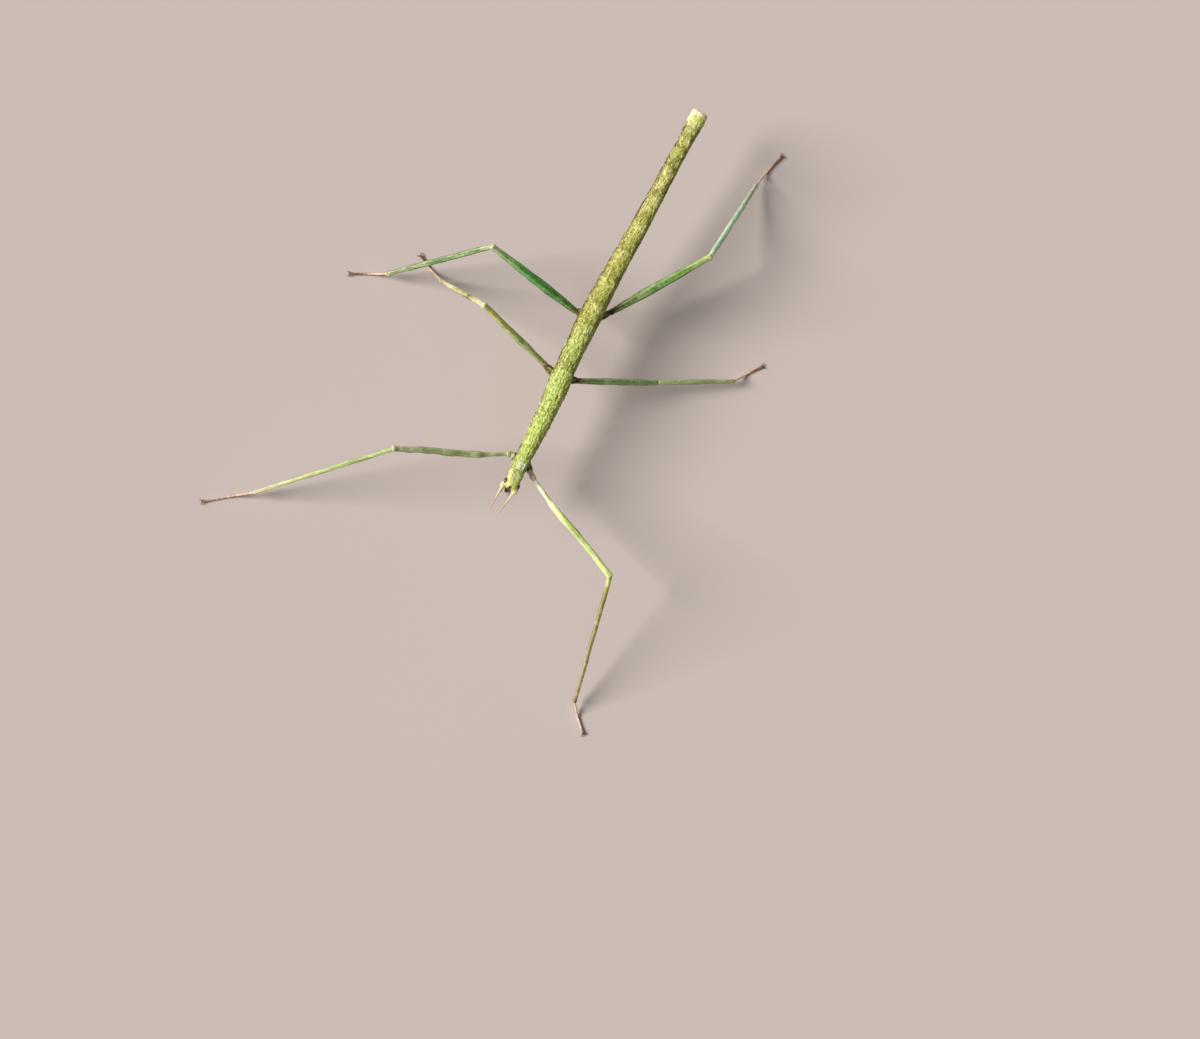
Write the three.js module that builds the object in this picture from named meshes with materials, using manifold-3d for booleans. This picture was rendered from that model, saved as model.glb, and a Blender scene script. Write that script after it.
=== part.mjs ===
// A life-size stick insect, standing still on its six feet.
// Millimetres. +Z is up, the head points to -Y and the insect's left side is +X.
import * as THREE from 'three';
import { mergeVertices } from 'three/addons/utils/BufferGeometryUtils.js';
import Module from 'manifold-3d';

const wasm = await Module();
wasm.setup();

// ---------------------------------------------------------------------------
// Driving dimensions
// ---------------------------------------------------------------------------

const BODY_LENGTH = 38.5;
const CUT = 0.05; // width of the thin cut that parts two neighbouring pieces
const CLEARANCE = 0.03; // how far a piece stays off the piece it is let into
const BODY_SIDES = 16;
const LIMB_SIDES = 10;

// The body's middle line: distance from the front of the head, how far it lies out to the
// left, and its height above the floor.
const SPINE_STATIONS = [
  { along: 0, out: -0.02, height: 5.85 },
  { along: 2.65, out: 0.02, height: 5.4 },
  { along: 6.5, out: 0.04, height: 5.48 },
  { along: 9.5, out: -0.04, height: 5.52 },
  { along: 13.0, out: -0.24, height: 5.52 },
  { along: 20.0, out: -0.22, height: 5.5 },
  { along: 27.3, out: 0.03, height: 6.0 },
  { along: 33.0, out: 0.1, height: 6.5 },
  { along: BODY_LENGTH, out: 0.2, height: 7.05 },
];

// The body's sections. A back is higher than a belly is deep, in shares of the half width.
const BACK_SHARE = 0.9;
const BELLY_SHARE = 0.74;
const END_TUCK = 0.95; // each plate's rim is this share of its width
const RIM_LENGTH = 0.12; // the rim is tucked in over this length

// Plates from the neck to the tail: length, and widths at even steps from front to back.
const BODY_PLATES = [
  { name: 'prothorax', length: 1.4, widths: [1.42, 1.46, 1.48] },
  { name: 'mesothorax', length: 8.7, widths: [1.46, 1.56, 1.72, 1.76, 1.8, 2.12, 1.9] },
  { name: 'metathorax', length: 4.6, widths: [1.88, 1.9, 1.96, 2.1] },
  { name: 'abdomen_1', length: 2.0, widths: [2.12, 2.12, 2.04] },
  { name: 'abdomen_2', length: 2.6, widths: [2.02, 1.96, 1.92] },
  { name: 'abdomen_3', length: 2.9, widths: [1.9, 1.82, 1.75] },
  { name: 'abdomen_4', length: 3.0, widths: [1.74, 1.7, 1.64] },
  { name: 'abdomen_5', length: 2.9, widths: [1.62, 1.57, 1.54] },
  { name: 'abdomen_6', length: 2.6, widths: [1.52, 1.46, 1.44] },
  { name: 'abdomen_7', length: 1.8, widths: [1.43, 1.42, 1.42] },
  { name: 'abdomen_8', length: 1.5, widths: [1.4, 1.38, 1.4] },
  { name: 'abdomen_9', length: 1.2, widths: [1.42, 1.48, 1.56] },
  { name: 'abdomen_10', length: 1.4, widths: [1.56, 1.62, 1.5] },
];

const HEAD_LENGTH = 1.9;
const HEAD_WIDTHS = [1.02, 1.28, 1.36, 1.42, 1.46, 1.42]; // front to back, at even steps
const EYE = { along: 0.54, out: 0.68, up: 0.14, radius: 0.27 };
const ANTENNA = { along: 0.12, out: 0.46, length: 2.5, base: 0.27, tip: 0.2, drop: 0.2, swing: 0.3 };
const MOUTH = { along: 0.34, down: 0.52, length: 0.8, width: 0.86, height: 0.56 };
const PALP = { along: 0.16, out: 0.4, down: 0.62, length: 0.75, radius: 0.16 };
const TAIL_NOTCH = { radius: 0.3, depth: 0.16 };
const CERCUS = { out: 0.36, down: 0.18, length: 0.55, radius: 0.16 };

// Each pair of legs: where its hips sit, its lengths and its thicknesses (diameters).
const LEG_PAIRS = {
  fore: {
    along: 2.65, coxaRoot: 2.95, hipHeight: 4.91, femur: 11.5, tibia: 13.6,
    femurBase: 0.52, femurThick: 0.68, tibiaThick: 0.52, femurBow: 0.22,
  },
  mid: {
    along: 11.45, coxaRoot: 11.3, hipHeight: 5.2, femur: 8.8, tibia: 8.1,
    femurBase: 0.58, femurThick: 0.62, tibiaThick: 0.52, femurBow: 0,
  },
  hind: {
    along: 17.8, coxaRoot: 17.5, hipHeight: 4.92, femur: 10.5, tibia: 10.7,
    femurBase: 0.62, femurThick: 0.74, tibiaThick: 0.54, femurBow: 0,
  },
};

// How each leg is held. Headings are degrees anticlockwise from +X, seen from above; rise is
// the femur's slope. The hip's place is out from the middle line and back from its station.
// A tibia's slope follows from its knee's height, because every ankle is at one height. Reach is
// how far a foot goes over the floor from its ankle: a curled foot reaches less than a straight one.
const LEG_POSES = {
  fore_left: { hipOut: 1.62, hipBack: -0.52, femur: 333.7, rise: 11, tibia: 289.3, foot: 315.8, reach: 3.6 },
  fore_right: { hipOut: 1.14, hipBack: 0.37, femur: 204.4, rise: 11.6, tibia: 226.3, foot: 217, reach: 5.0 },
  mid_left: { hipOut: 1.57, hipBack: 0.33, femur: 26.4, rise: -21.3, tibia: 28.3, foot: 51.4, reach: 3.78 },
  mid_right: { hipOut: 2.05, hipBack: 0.19, femur: 168.1, rise: 20.9, tibia: 159.2, foot: 154.6, reach: 3.3 },
  hind_left: { hipOut: 1.47, hipBack: 0.98, femur: 56.4, rise: 6, tibia: 75.8, foot: 72.4, reach: 4.3 },
  hind_right: { hipOut: 1.49, hipBack: -0.52, femur: 173.5, rise: 14.1, tibia: 222.6, foot: 207, reach: 3.7 },
};

const ANKLE_HEIGHT = 0.9;
const TOE_HEIGHT = 0.2; // height of the foot's middle line where the foot lies on the floor
const FOOT_THICK = 0.54;
const CLAW_SPREAD = 0.62;
const TOUCHDOWN = 0.42; // share of the foot's length that arches down from the ankle
const COXA_THICK = 0.98;
const COXA_ROOT = { out: 0.35, down: 0.25 }; // where a coxa's middle line starts, inside the trunk

// ---------------------------------------------------------------------------
// Colours and finishes
// ---------------------------------------------------------------------------

const COLOURS = {
  thorax: '#aeb56b',
  abdomen: '#9c9657',
  head: '#b3b374',
  tail: '#cbc683',
  eye: '#2a2118',
  antenna: '#cfc09b',
  mouth: '#a3925f',
  hip: '#6c5a3a',
  greenFemur: '#5d9048',
  paleFemur: '#c6c38f',
  greenTibia: '#97b68c',
  brownTibia: '#8d7f4c',
  oliveLeg: '#a6a04e',
  foot: '#8f7a55',
};

const LEG_COLOURS = {
  fore_left: { femur: COLOURS.paleFemur, tibia: COLOURS.brownTibia },
  fore_right: { femur: COLOURS.greenFemur, tibia: COLOURS.greenTibia },
  mid_left: { femur: COLOURS.greenFemur, tibia: COLOURS.greenFemur },
  mid_right: { femur: COLOURS.oliveLeg, tibia: COLOURS.oliveLeg },
  hind_left: { femur: COLOURS.greenFemur, tibia: COLOURS.greenTibia },
  hind_right: { femur: COLOURS.greenFemur, tibia: COLOURS.greenTibia },
};

const CUTICLE_ROUGHNESS = 0.45;
const EYE_ROUGHNESS = 0.15;

// ---------------------------------------------------------------------------
// Shared ways of making solids
// ---------------------------------------------------------------------------

const UP = new THREE.Vector3(0, 0, 1);

/** The value at `share` (0 to 1) of a smooth line through evenly spaced values. */
function smoothValue(values, share) {
  const last = values.length - 1;
  const place = THREE.MathUtils.clamp(share, 0, 1) * last;
  const index = Math.min(Math.floor(place), last - 1);
  const step = THREE.MathUtils.smoothstep(place - index, 0, 1);
  const blend = THREE.MathUtils.lerp(place - index, step, 0.5);
  return THREE.MathUtils.lerp(values[index], values[index + 1], blend);
}

/** A turned blank along +Y with flat ends, from rings of { along, radius }. */
function turnedBlank(rings, sides) {
  const first = rings[0];
  const last = rings[rings.length - 1];
  const profile = [new THREE.Vector2(0, first.along)];
  rings.forEach((ring) => profile.push(new THREE.Vector2(ring.radius, ring.along)));
  profile.push(new THREE.Vector2(0, last.along));
  return new THREE.LatheGeometry(profile, sides);
}

/** Moves every vertex of a geometry to the place that `place` gives it. */
function reshape(geometry, place) {
  const position = geometry.attributes.position;
  const vertex = new THREE.Vector3();
  for (let index = 0; index < position.count; index += 1) {
    vertex.fromBufferAttribute(position, index);
    const moved = place(vertex);
    position.setXYZ(index, moved.x, moved.y, moved.z);
  }
  geometry.computeVertexNormals();
  return geometry;
}

/** Side and up directions of a section square to `tangent`. */
function sectionFrame(tangent) {
  const side = new THREE.Vector3().crossVectors(tangent, UP).normalize();
  const up = new THREE.Vector3().crossVectors(side, tangent).normalize();
  return { side, up };
}

/** A closed geometry as a manifold solid. */
function toSolid(geometry) {
  const bare = geometry.clone();
  bare.deleteAttribute('normal');
  bare.deleteAttribute('uv');
  const merged = mergeVertices(bare, 1e-5);
  const corners = [];
  const index = merged.index.array;
  for (let start = 0; start < index.length; start += 3) {
    const [a, b, c] = [index[start], index[start + 1], index[start + 2]];
    if (a !== b && b !== c && c !== a) {
      corners.push(a, b, c);
    }
  }
  const mesh = new wasm.Mesh({
    numProp: 3,
    vertProperties: Float32Array.from(merged.attributes.position.array),
    triVerts: Uint32Array.from(corners),
  });
  return new wasm.Manifold(mesh);
}

/** A manifold solid as a three.js geometry. */
function toGeometry(solid) {
  const mesh = solid.getMesh();
  const geometry = new THREE.BufferGeometry();
  geometry.setAttribute('position', new THREE.BufferAttribute(mesh.vertProperties, 3));
  geometry.setIndex(new THREE.BufferAttribute(mesh.triVerts, 1));
  geometry.computeVertexNormals();
  return geometry;
}

/** `geometry` with every one of the cutters taken away. */
function cutAway(geometry, cutters) {
  const solid = cutters.reduce((rest, cutter) => rest.subtract(toSolid(cutter)), toSolid(geometry));
  return toGeometry(solid);
}

/** A named mesh with a material of its own. */
function piece(name, geometry, colour, roughness = CUTICLE_ROUGHNESS) {
  const material = new THREE.MeshStandardMaterial({ color: colour, roughness, metalness: 0 });
  const mesh = new THREE.Mesh(geometry, material);
  mesh.name = name;
  return mesh;
}

// ---------------------------------------------------------------------------
// Trunk: thorax and abdomen plates round a gently bent spine
// ---------------------------------------------------------------------------

const spinePoints = SPINE_STATIONS.map(({ along, out, height }) => new THREE.Vector3(out, along, height));
const spine = new THREE.CatmullRomCurve3(spinePoints, false, 'centripetal');

/** Where the spine is, and which way its section faces, at a distance from the head's front. */
function spineFrame(along) {
  const share = THREE.MathUtils.clamp(along / BODY_LENGTH, 0, 1);
  const centre = spine.getPointAt(share);
  const tangent = spine.getTangentAt(share);
  centre.addScaledVector(tangent, along - share * BODY_LENGTH);
  const up = new THREE.Vector3().crossVectors(new THREE.Vector3(1, 0, 0), tangent).normalize();
  const side = new THREE.Vector3().crossVectors(tangent, up).normalize();
  return { centre, tangent, side, up };
}

/** A place given from the spine: distance along it, out to the left, and up. */
function fromSpine(along, out, rise) {
  const frame = spineFrame(along);
  return frame.centre.addScaledVector(frame.side, out).addScaledVector(frame.up, rise);
}

/** Bends a turned blank round the spine, with a rounded back and a flatter belly. */
function bendToSpine(blank) {
  return reshape(blank, (vertex) => {
    const share = vertex.z > 0 ? BACK_SHARE : BELLY_SHARE;
    return fromSpine(vertex.y, vertex.x, vertex.z * share);
  });
}

/** Rings along one stretch of body, with both rims tucked in. */
function plateRings(start, length, widths, grow = 0) {
  const steps = widths.length + 1;
  const shares = [0, RIM_LENGTH / length];
  for (let step = 1; step < steps; step += 1) {
    shares.push(step / steps);
  }
  shares.push(1 - RIM_LENGTH / length, 1);
  return shares.map((share) => {
    const rim = share === 0 || share === 1 ? END_TUCK : 1;
    return { along: start + share * length, radius: (smoothValue(widths, share) * rim) / 2 + grow };
  });
}

function plateGeometry(plate) {
  const start = plate.start + CUT / 2;
  const length = plate.length - CUT;
  return bendToSpine(turnedBlank(plateRings(start, length, plate.widths), BODY_SIDES));
}

/** The trunk as one solid, a little larger all round, for cutting what is set against it. */
function trunkCutter(plates) {
  const rings = plates.flatMap((plate, order) => {
    const skip = order === 0 ? 0 : 1;
    return plateRings(plate.start, plate.length, plate.widths, CLEARANCE).slice(skip);
  });
  return bendToSpine(turnedBlank(rings, BODY_SIDES));
}

function layOutPlates() {
  let start = HEAD_LENGTH;
  return BODY_PLATES.map((plate) => {
    const placed = { ...plate, start };
    start += plate.length;
    return placed;
  });
}

/** The last plate, with the shallow notch between its two lobes. */
function tailPlateGeometry(plate) {
  const notch = new THREE.SphereGeometry(TAIL_NOTCH.radius, 10, 6);
  notch.scale(1, 1, 4);
  const centre = fromSpine(BODY_LENGTH - TAIL_NOTCH.depth + TAIL_NOTCH.radius, 0, 0);
  notch.translate(centre.x, centre.y, centre.z);
  return cutAway(plateGeometry(plate), [notch, ...[1, -1].map((side) => cercusBlank(side, CLEARANCE))]);
}

/** One tail feeler, the short blunt pair under the last plate's lobes. */
function cercusBlank(side, grow = 0) {
  const radius = CERCUS.radius + grow;
  const root = BODY_LENGTH - CERCUS.length * 0.55;
  const rings = [
    { along: root - grow, radius: radius * 0.8 },
    { along: root + CERCUS.length * 0.4, radius },
    { along: root + CERCUS.length * 0.8, radius: radius * 0.8 },
    { along: root + CERCUS.length + grow, radius: radius * 0.4 },
  ];
  const blank = turnedBlank(rings, 8);
  const out = side * CERCUS.out;
  return reshape(blank, (vertex) => fromSpine(vertex.y, vertex.x + out, vertex.z - CERCUS.down));
}

function trunkPieces(plates) {
  return plates.map((plate) => {
    const isTail = plate.name === 'abdomen_10';
    const colour = plate.name.includes('thorax') ? COLOURS.thorax : COLOURS.abdomen;
    const geometry = isTail ? tailPlateGeometry(plate) : plateGeometry(plate);
    return piece(plate.name, geometry, isTail ? COLOURS.tail : colour);
  });
}

// ---------------------------------------------------------------------------
// Head: capsule, eyes, feelers and mouth
// ---------------------------------------------------------------------------

function headBlank(grow = 0) {
  const shares = [0, 0.05, 0.14, 0.26, 0.4, 0.55, 0.7, 0.85, 0.96, 1];
  const rings = shares.map((share) => {
    const rim = share === 1 ? END_TUCK : 1;
    const blunt = share === 0 ? 0.72 : 1;
    const radius = (smoothValue(HEAD_WIDTHS, share) * rim * blunt) / 2 + grow;
    return { along: share * (HEAD_LENGTH - CUT / 2 + grow) - grow * (1 - share), radius };
  });
  return bendToSpine(turnedBlank(rings, BODY_SIDES));
}

function eyeBlank(side, grow = 0) {
  const eye = new THREE.SphereGeometry(EYE.radius + grow, 12, 8);
  const centre = fromSpine(EYE.along, side * EYE.out, EYE.up);
  eye.scale(0.8, 1.1, 1);
  eye.translate(centre.x, centre.y, centre.z);
  return eye;
}

/** A feeler: a broad first joint, then a slow taper. Both swing a little to the right and dip. */
function antennaBlank(side) {
  const root = fromSpine(ANTENNA.along + 0.25, side * ANTENNA.out, 0);
  const tip = fromSpine(ANTENNA.along, side * ANTENNA.out - ANTENNA.swing, -ANTENNA.drop);
  tip.y -= ANTENNA.length;
  const middle = root.clone().lerp(tip, 0.5);
  middle.z += ANTENNA.drop * 0.35;
  const path = new THREE.QuadraticBezierCurve3(root, middle, tip);
  const rings = [
    { along: 0, radius: ANTENNA.base * 0.86 },
    { along: 0.12, radius: ANTENNA.base },
    { along: 0.3, radius: ANTENNA.base * 0.96 },
    { along: 0.36, radius: ANTENNA.base * 0.88 },
    { along: 0.7, radius: THREE.MathUtils.lerp(ANTENNA.base, ANTENNA.tip, 0.7) },
    { along: 0.96, radius: ANTENNA.tip },
    { along: 1, radius: ANTENNA.tip * 0.6 },
  ];
  return alongPath(turnedBlank(rings, 8), path, 0.9);
}

function mouthBlank(grow = 0) {
  const mouth = new THREE.SphereGeometry(0.5, 14, 10);
  const centre = fromSpine(MOUTH.along, 0, -MOUTH.down);
  mouth.scale(MOUTH.width + 2 * grow, MOUTH.length + 2 * grow, MOUTH.height + 2 * grow);
  mouth.translate(centre.x, centre.y, centre.z);
  return mouth;
}

function palpBlank(side) {
  const root = fromSpine(PALP.along + 0.3, side * (PALP.out - 0.1), -PALP.down);
  const tip = fromSpine(PALP.along, side * PALP.out, -PALP.down - PALP.length * 0.45);
  tip.y -= PALP.length * 0.7;
  const rings = [
    { along: 0, radius: PALP.radius * 0.8 },
    { along: 0.25, radius: PALP.radius },
    { along: 0.85, radius: PALP.radius * 0.9 },
    { along: 1, radius: PALP.radius * 0.5 },
  ];
  return alongPath(turnedBlank(rings, 8), new THREE.LineCurve3(root, tip), 1);
}

function headPieces() {
  const sides = { left: 1, right: -1 };
  const pieces = [];
  const sockets = Object.values(sides).map((side) => eyeBlank(side, CLEARANCE));
  pieces.push(piece('head', cutAway(headBlank(), sockets), COLOURS.head));
  const aroundHead = headBlank(CLEARANCE);
  const aroundMouth = mouthBlank(CLEARANCE);
  pieces.push(piece('mouthparts', cutAway(mouthBlank(), [aroundHead]), COLOURS.mouth));
  Object.entries(sides).forEach(([label, side]) => {
    const antenna = cutAway(antennaBlank(side), [aroundHead]);
    const palp = cutAway(palpBlank(side), [aroundHead, aroundMouth]);
    pieces.push(piece(`eye_${label}`, eyeBlank(side), COLOURS.eye, EYE_ROUGHNESS));
    pieces.push(piece(`antenna_${label}`, antenna, COLOURS.antenna));
    pieces.push(piece(`palp_${label}`, palp, COLOURS.mouth));
    pieces.push(piece(`cercus_${label}`, cercusBlank(side), COLOURS.tail));
  });
  return pieces;
}

// ---------------------------------------------------------------------------
// Legs
// ---------------------------------------------------------------------------

/** A direction from a heading and a slope in degrees. */
function direction(heading, slope = 0) {
  const turn = THREE.MathUtils.degToRad(heading);
  const climb = THREE.MathUtils.degToRad(slope);
  const level = Math.cos(climb);
  return new THREE.Vector3(level * Math.cos(turn), level * Math.sin(turn), Math.sin(climb));
}

/**
 * Lays a turned blank (0 to 1 along +Y) on a path. Its ends are cut square, or on the slant
 * of `startFace` and `endFace`, which are the directions those end faces look along.
 */
function alongPath(blank, path, tallness, startFace = null, endFace = null) {
  return reshape(blank, (vertex) => {
    const share = THREE.MathUtils.clamp(vertex.y, 0, 1);
    const centre = path.getPointAt(share);
    const tangent = path.getTangentAt(share);
    const { side, up } = sectionFrame(tangent);
    const offset = side.multiplyScalar(vertex.x).addScaledVector(up, vertex.z * tallness);
    const face = (share === 0 && startFace) || (share === 1 && endFace);
    const slide = face ? -offset.dot(face) / tangent.dot(face) : 0;
    return centre.add(offset).addScaledVector(tangent, slide);
  });
}

/** The direction that a joint's parting face looks along, midway between two pieces. */
function mitre(before, after) {
  return before.clone().add(after).normalize();
}

/** A straight run between two places, short of both by half a cut. */
function trimmedLine(from, to) {
  const along = to.clone().sub(from).normalize();
  return new THREE.LineCurve3(
    from.clone().addScaledVector(along, CUT / 2),
    to.clone().addScaledVector(along, -CUT / 2),
  );
}

/** The four places that fix a leg: hip, knee, ankle and toe. */
function legJoints(pair, pose, side) {
  const station = spineFrame(pair.along).centre;
  const hip = new THREE.Vector3(side * pose.hipOut, station.y + pose.hipBack, pair.hipHeight);
  const knee = hip.clone().addScaledVector(direction(pose.femur, pose.rise), pair.femur);
  const drop = knee.z - ANKLE_HEIGHT;
  const reach = Math.sqrt(pair.tibia ** 2 - drop ** 2);
  const ankle = knee.clone().addScaledVector(direction(pose.tibia), reach);
  ankle.z = ANKLE_HEIGHT;
  const toe = ankle.clone().addScaledVector(direction(pose.foot), pose.reach);
  toe.z = TOE_HEIGHT;
  return { hip, knee, ankle, toe, heading: direction(pose.foot) };
}

/** A foot's middle line: it arches down from the ankle and then runs along the floor. */
class FootPath extends THREE.Curve {
  constructor(ankle, toe, heading) {
    super();
    this.ankle = ankle.clone().addScaledVector(heading, CUT / 2);
    this.toe = toe;
  }

  getPoint(share, target = new THREE.Vector3()) {
    const left = Math.max(0, 1 - share / TOUCHDOWN);
    target.copy(this.ankle).lerp(this.toe, share);
    target.z = TOE_HEIGHT + (ANKLE_HEIGHT - TOE_HEIGHT) * left ** 2;
    return target;
  }
}

function coxaGeometry(pair, joints, side, femurLine, trunk) {
  const root = fromSpine(pair.coxaRoot, side * COXA_ROOT.out, -COXA_ROOT.down);
  const path = trimmedLine(root, joints.hip);
  const inward = path.getTangentAt(0);
  const rings = [
    { along: 0, radius: COXA_THICK * 0.36 },
    { along: 0.3, radius: COXA_THICK * 0.46 },
    { along: 0.55, radius: COXA_THICK * 0.48 },
    { along: 0.78, radius: COXA_THICK * 0.42 },
    { along: 1, radius: pair.femurBase * 0.54 },
  ];
  const face = mitre(inward, femurLine);
  const blank = alongPath(turnedBlank(rings, LIMB_SIDES), path, 0.9, null, face);
  return { geometry: cutAway(blank, [trunk]), face };
}

function femurGeometry(pair, joints, side, startFace, endFace) {
  const line = trimmedLine(joints.hip, joints.knee);
  const along = line.getTangentAt(0);
  const { side: across } = sectionFrame(along);
  const bowed = joints.hip.clone().lerp(joints.knee, 0.28);
  bowed.addScaledVector(across, side * pair.femurBow);
  const path = pair.femurBow > 0
    ? new THREE.CatmullRomCurve3([line.v1, bowed, joints.hip.clone().lerp(joints.knee, 0.7), line.v2])
    : line;
  const thick = pair.femurThick / 2;
  const rings = [
    { along: 0, radius: pair.femurBase / 2 },
    { along: 0.06, radius: (pair.femurBase / 2) * 1.02 },
    { along: 0.2, radius: thick * 0.94 },
    { along: 0.4, radius: thick },
    { along: 0.6, radius: thick * 0.96 },
    { along: 0.8, radius: thick * 0.9 },
    { along: 0.94, radius: thick * 1.02 },
    { along: 1, radius: thick * 0.92 },
  ];
  return alongPath(turnedBlank(rings, LIMB_SIDES), path, 1.04, startFace, endFace);
}

function tibiaGeometry(pair, joints, startFace, endFace) {
  const thick = pair.tibiaThick / 2;
  const rings = [
    { along: 0, radius: thick * 1.12 },
    { along: 0.06, radius: thick * 1.14 },
    { along: 0.14, radius: thick },
    { along: 0.45, radius: thick * 0.94 },
    { along: 0.8, radius: thick * 0.94 },
    { along: 0.96, radius: thick * 1.06 },
    { along: 1, radius: thick },
  ];
  const path = trimmedLine(joints.knee, joints.ankle);
  return alongPath(turnedBlank(rings, LIMB_SIDES), path, 1, startFace, endFace);
}

/** A foot with its claws, its sole cut flat where it lies on the floor. */
function tarsusGeometry(joints, path, startFace) {
  const thick = FOOT_THICK / 2;
  const rings = [
    { along: 0, radius: thick * 0.94 },
    { along: 0.12, radius: thick * 0.92 },
    { along: 0.3, radius: thick * 0.96 },
    { along: 0.45, radius: thick * 0.98 },
    { along: 0.6, radius: thick * 0.96 },
    { along: 0.75, radius: thick * 0.96 },
    { along: 0.86, radius: thick * 0.98 },
    { along: 0.94, radius: CLAW_SPREAD / 2 },
    { along: 1, radius: (CLAW_SPREAD / 2) * 0.8 },
  ];
  const geometry = alongPath(turnedBlank(rings, LIMB_SIDES), path, 0.98, startFace);
  return reshape(geometry, (vertex) => vertex.setZ(Math.max(vertex.z, 0)));
}

function legPieces(name, trunk) {
  const [pairName, sideName] = name.split('_');
  const pair = LEG_PAIRS[pairName];
  const side = sideName === 'left' ? 1 : -1;
  const joints = legJoints(pair, LEG_POSES[name], side);
  const femurLine = joints.knee.clone().sub(joints.hip).normalize();
  const tibiaLine = joints.ankle.clone().sub(joints.knee).normalize();
  const footPath = new FootPath(joints.ankle, joints.toe, joints.heading);
  const kneeFace = mitre(femurLine, tibiaLine);
  const ankleFace = mitre(tibiaLine, footPath.getTangentAt(0));
  const coxa = coxaGeometry(pair, joints, side, femurLine, trunk);
  const femur = femurGeometry(pair, joints, side, coxa.face, kneeFace);
  const colours = LEG_COLOURS[name];
  return [
    piece(`${name}_coxa`, coxa.geometry, COLOURS.hip),
    piece(`${name}_femur`, femur, colours.femur),
    piece(`${name}_tibia`, tibiaGeometry(pair, joints, kneeFace, ankleFace), colours.tibia),
    piece(`${name}_tarsus`, tarsusGeometry(joints, footPath, ankleFace), COLOURS.foot),
  ];
}

// ---------------------------------------------------------------------------
// Assembly
// ---------------------------------------------------------------------------

function buildInsect() {
  const insect = new THREE.Group();
  const plates = layOutPlates();
  const headPlate = { start: HEAD_LENGTH / 2, length: HEAD_LENGTH / 2, widths: HEAD_WIDTHS.slice(-3) };
  const trunk = trunkCutter([headPlate, ...plates]);
  insect.add(...headPieces());
  insect.add(...trunkPieces(plates));
  Object.keys(LEG_POSES).forEach((name) => insect.add(...legPieces(name, trunk)));
  return insect;
}

/** Puts the middle of the model's footprint over the origin, with its soles on the floor. */
function centreOnFloor(model) {
  const box = new THREE.Box3().setFromObject(model, true);
  const centre = box.getCenter(new THREE.Vector3());
  model.position.set(-centre.x, -centre.y, -box.min.z);
  return new THREE.Group().add(model);
}

export default centreOnFloor(buildInsect());
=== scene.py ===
import math

import bmesh
import bpy
import numpy as np
from mathutils import Matrix, Vector
from mathutils.kdtree import KDTree


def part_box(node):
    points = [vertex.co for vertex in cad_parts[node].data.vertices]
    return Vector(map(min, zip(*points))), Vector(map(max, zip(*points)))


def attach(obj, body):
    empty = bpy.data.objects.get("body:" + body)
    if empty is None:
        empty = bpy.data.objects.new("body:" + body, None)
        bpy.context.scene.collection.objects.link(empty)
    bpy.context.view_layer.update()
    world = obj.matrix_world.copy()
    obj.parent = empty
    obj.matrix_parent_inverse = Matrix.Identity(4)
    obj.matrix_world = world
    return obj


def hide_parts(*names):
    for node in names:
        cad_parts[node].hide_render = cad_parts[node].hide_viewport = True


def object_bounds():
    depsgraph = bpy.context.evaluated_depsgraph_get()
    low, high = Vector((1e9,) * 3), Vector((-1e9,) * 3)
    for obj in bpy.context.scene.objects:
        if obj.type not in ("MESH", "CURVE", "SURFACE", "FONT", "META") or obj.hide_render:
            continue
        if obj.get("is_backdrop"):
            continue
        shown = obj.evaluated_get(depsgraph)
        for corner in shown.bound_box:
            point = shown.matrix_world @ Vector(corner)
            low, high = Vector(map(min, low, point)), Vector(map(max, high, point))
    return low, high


# Looks of a life-size stick insect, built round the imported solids. Shapes are worked out in
# millimetres as closed shells of rings, joined into one skin, and scaled to metres at the end.
# The insect faces -Y, its left side is +X, and stations along it are counted from the head's front.

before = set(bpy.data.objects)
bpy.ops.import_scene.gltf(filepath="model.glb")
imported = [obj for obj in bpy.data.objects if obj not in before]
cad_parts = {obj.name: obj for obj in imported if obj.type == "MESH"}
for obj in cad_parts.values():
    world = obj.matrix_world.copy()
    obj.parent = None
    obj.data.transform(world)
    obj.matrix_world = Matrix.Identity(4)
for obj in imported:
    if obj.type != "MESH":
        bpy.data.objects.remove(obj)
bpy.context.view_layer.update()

TO_MM = 1000.0
TO_METRES = 0.001
UP = np.array([0.0, 0.0, 1.0])
FULL_TURN = 2 * math.pi

PLATES = ("prothorax", "mesothorax", "metathorax") + tuple(f"abdomen_{n}" for n in range(1, 11))
PAIRS = ("fore", "mid", "hind")
SIDES = ("left", "right")
SEGMENTS = ("coxa", "femur", "tibia", "tarsus")

# Points round each kind of tube, and millimetres between its rings, or how many rings an eye has.
TRUNK_ROUND = 144
TRUNK_STEP = 0.042
HEAD_ROUND = 128
HEAD_STEP = 0.028
LEG_ROUND = 32
LEG_STEP = 0.06
TARSUS_ROUND = 20
TARSUS_STEP = 0.035
EYE_ROUND = 72
EYE_RINGS = 48
FEELER_ROUND = 28
CERCUS_ROUND = 24
PALP_ROUND = 20
# Corners closer than this, in millimetres, are merged where shells join.
SLIVER = 0.0004


# ---------------------------------------------------------------- small sums


def smooth_step(low, high, value):
    share = np.clip((value - low) / (high - low), 0, 1)
    return share * share * (3 - 2 * share)


def bell(value, centre, width):
    return np.exp(-(((value - centre) / width) ** 2))


def unit(vectors):
    return vectors / np.maximum(np.linalg.norm(vectors, axis=-1, keepdims=True), 1e-12)


def linear(colour):
    """A display colour from 0 to 255 as scene-linear numbers."""
    share = np.asarray(colour, float) / 255
    return np.where(share <= 0.04045, share / 12.92, ((share + 0.055) / 1.055) ** 2.4)


def blend(first, second, share):
    return first + (second - first) * np.asarray(share)[..., None]


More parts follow.
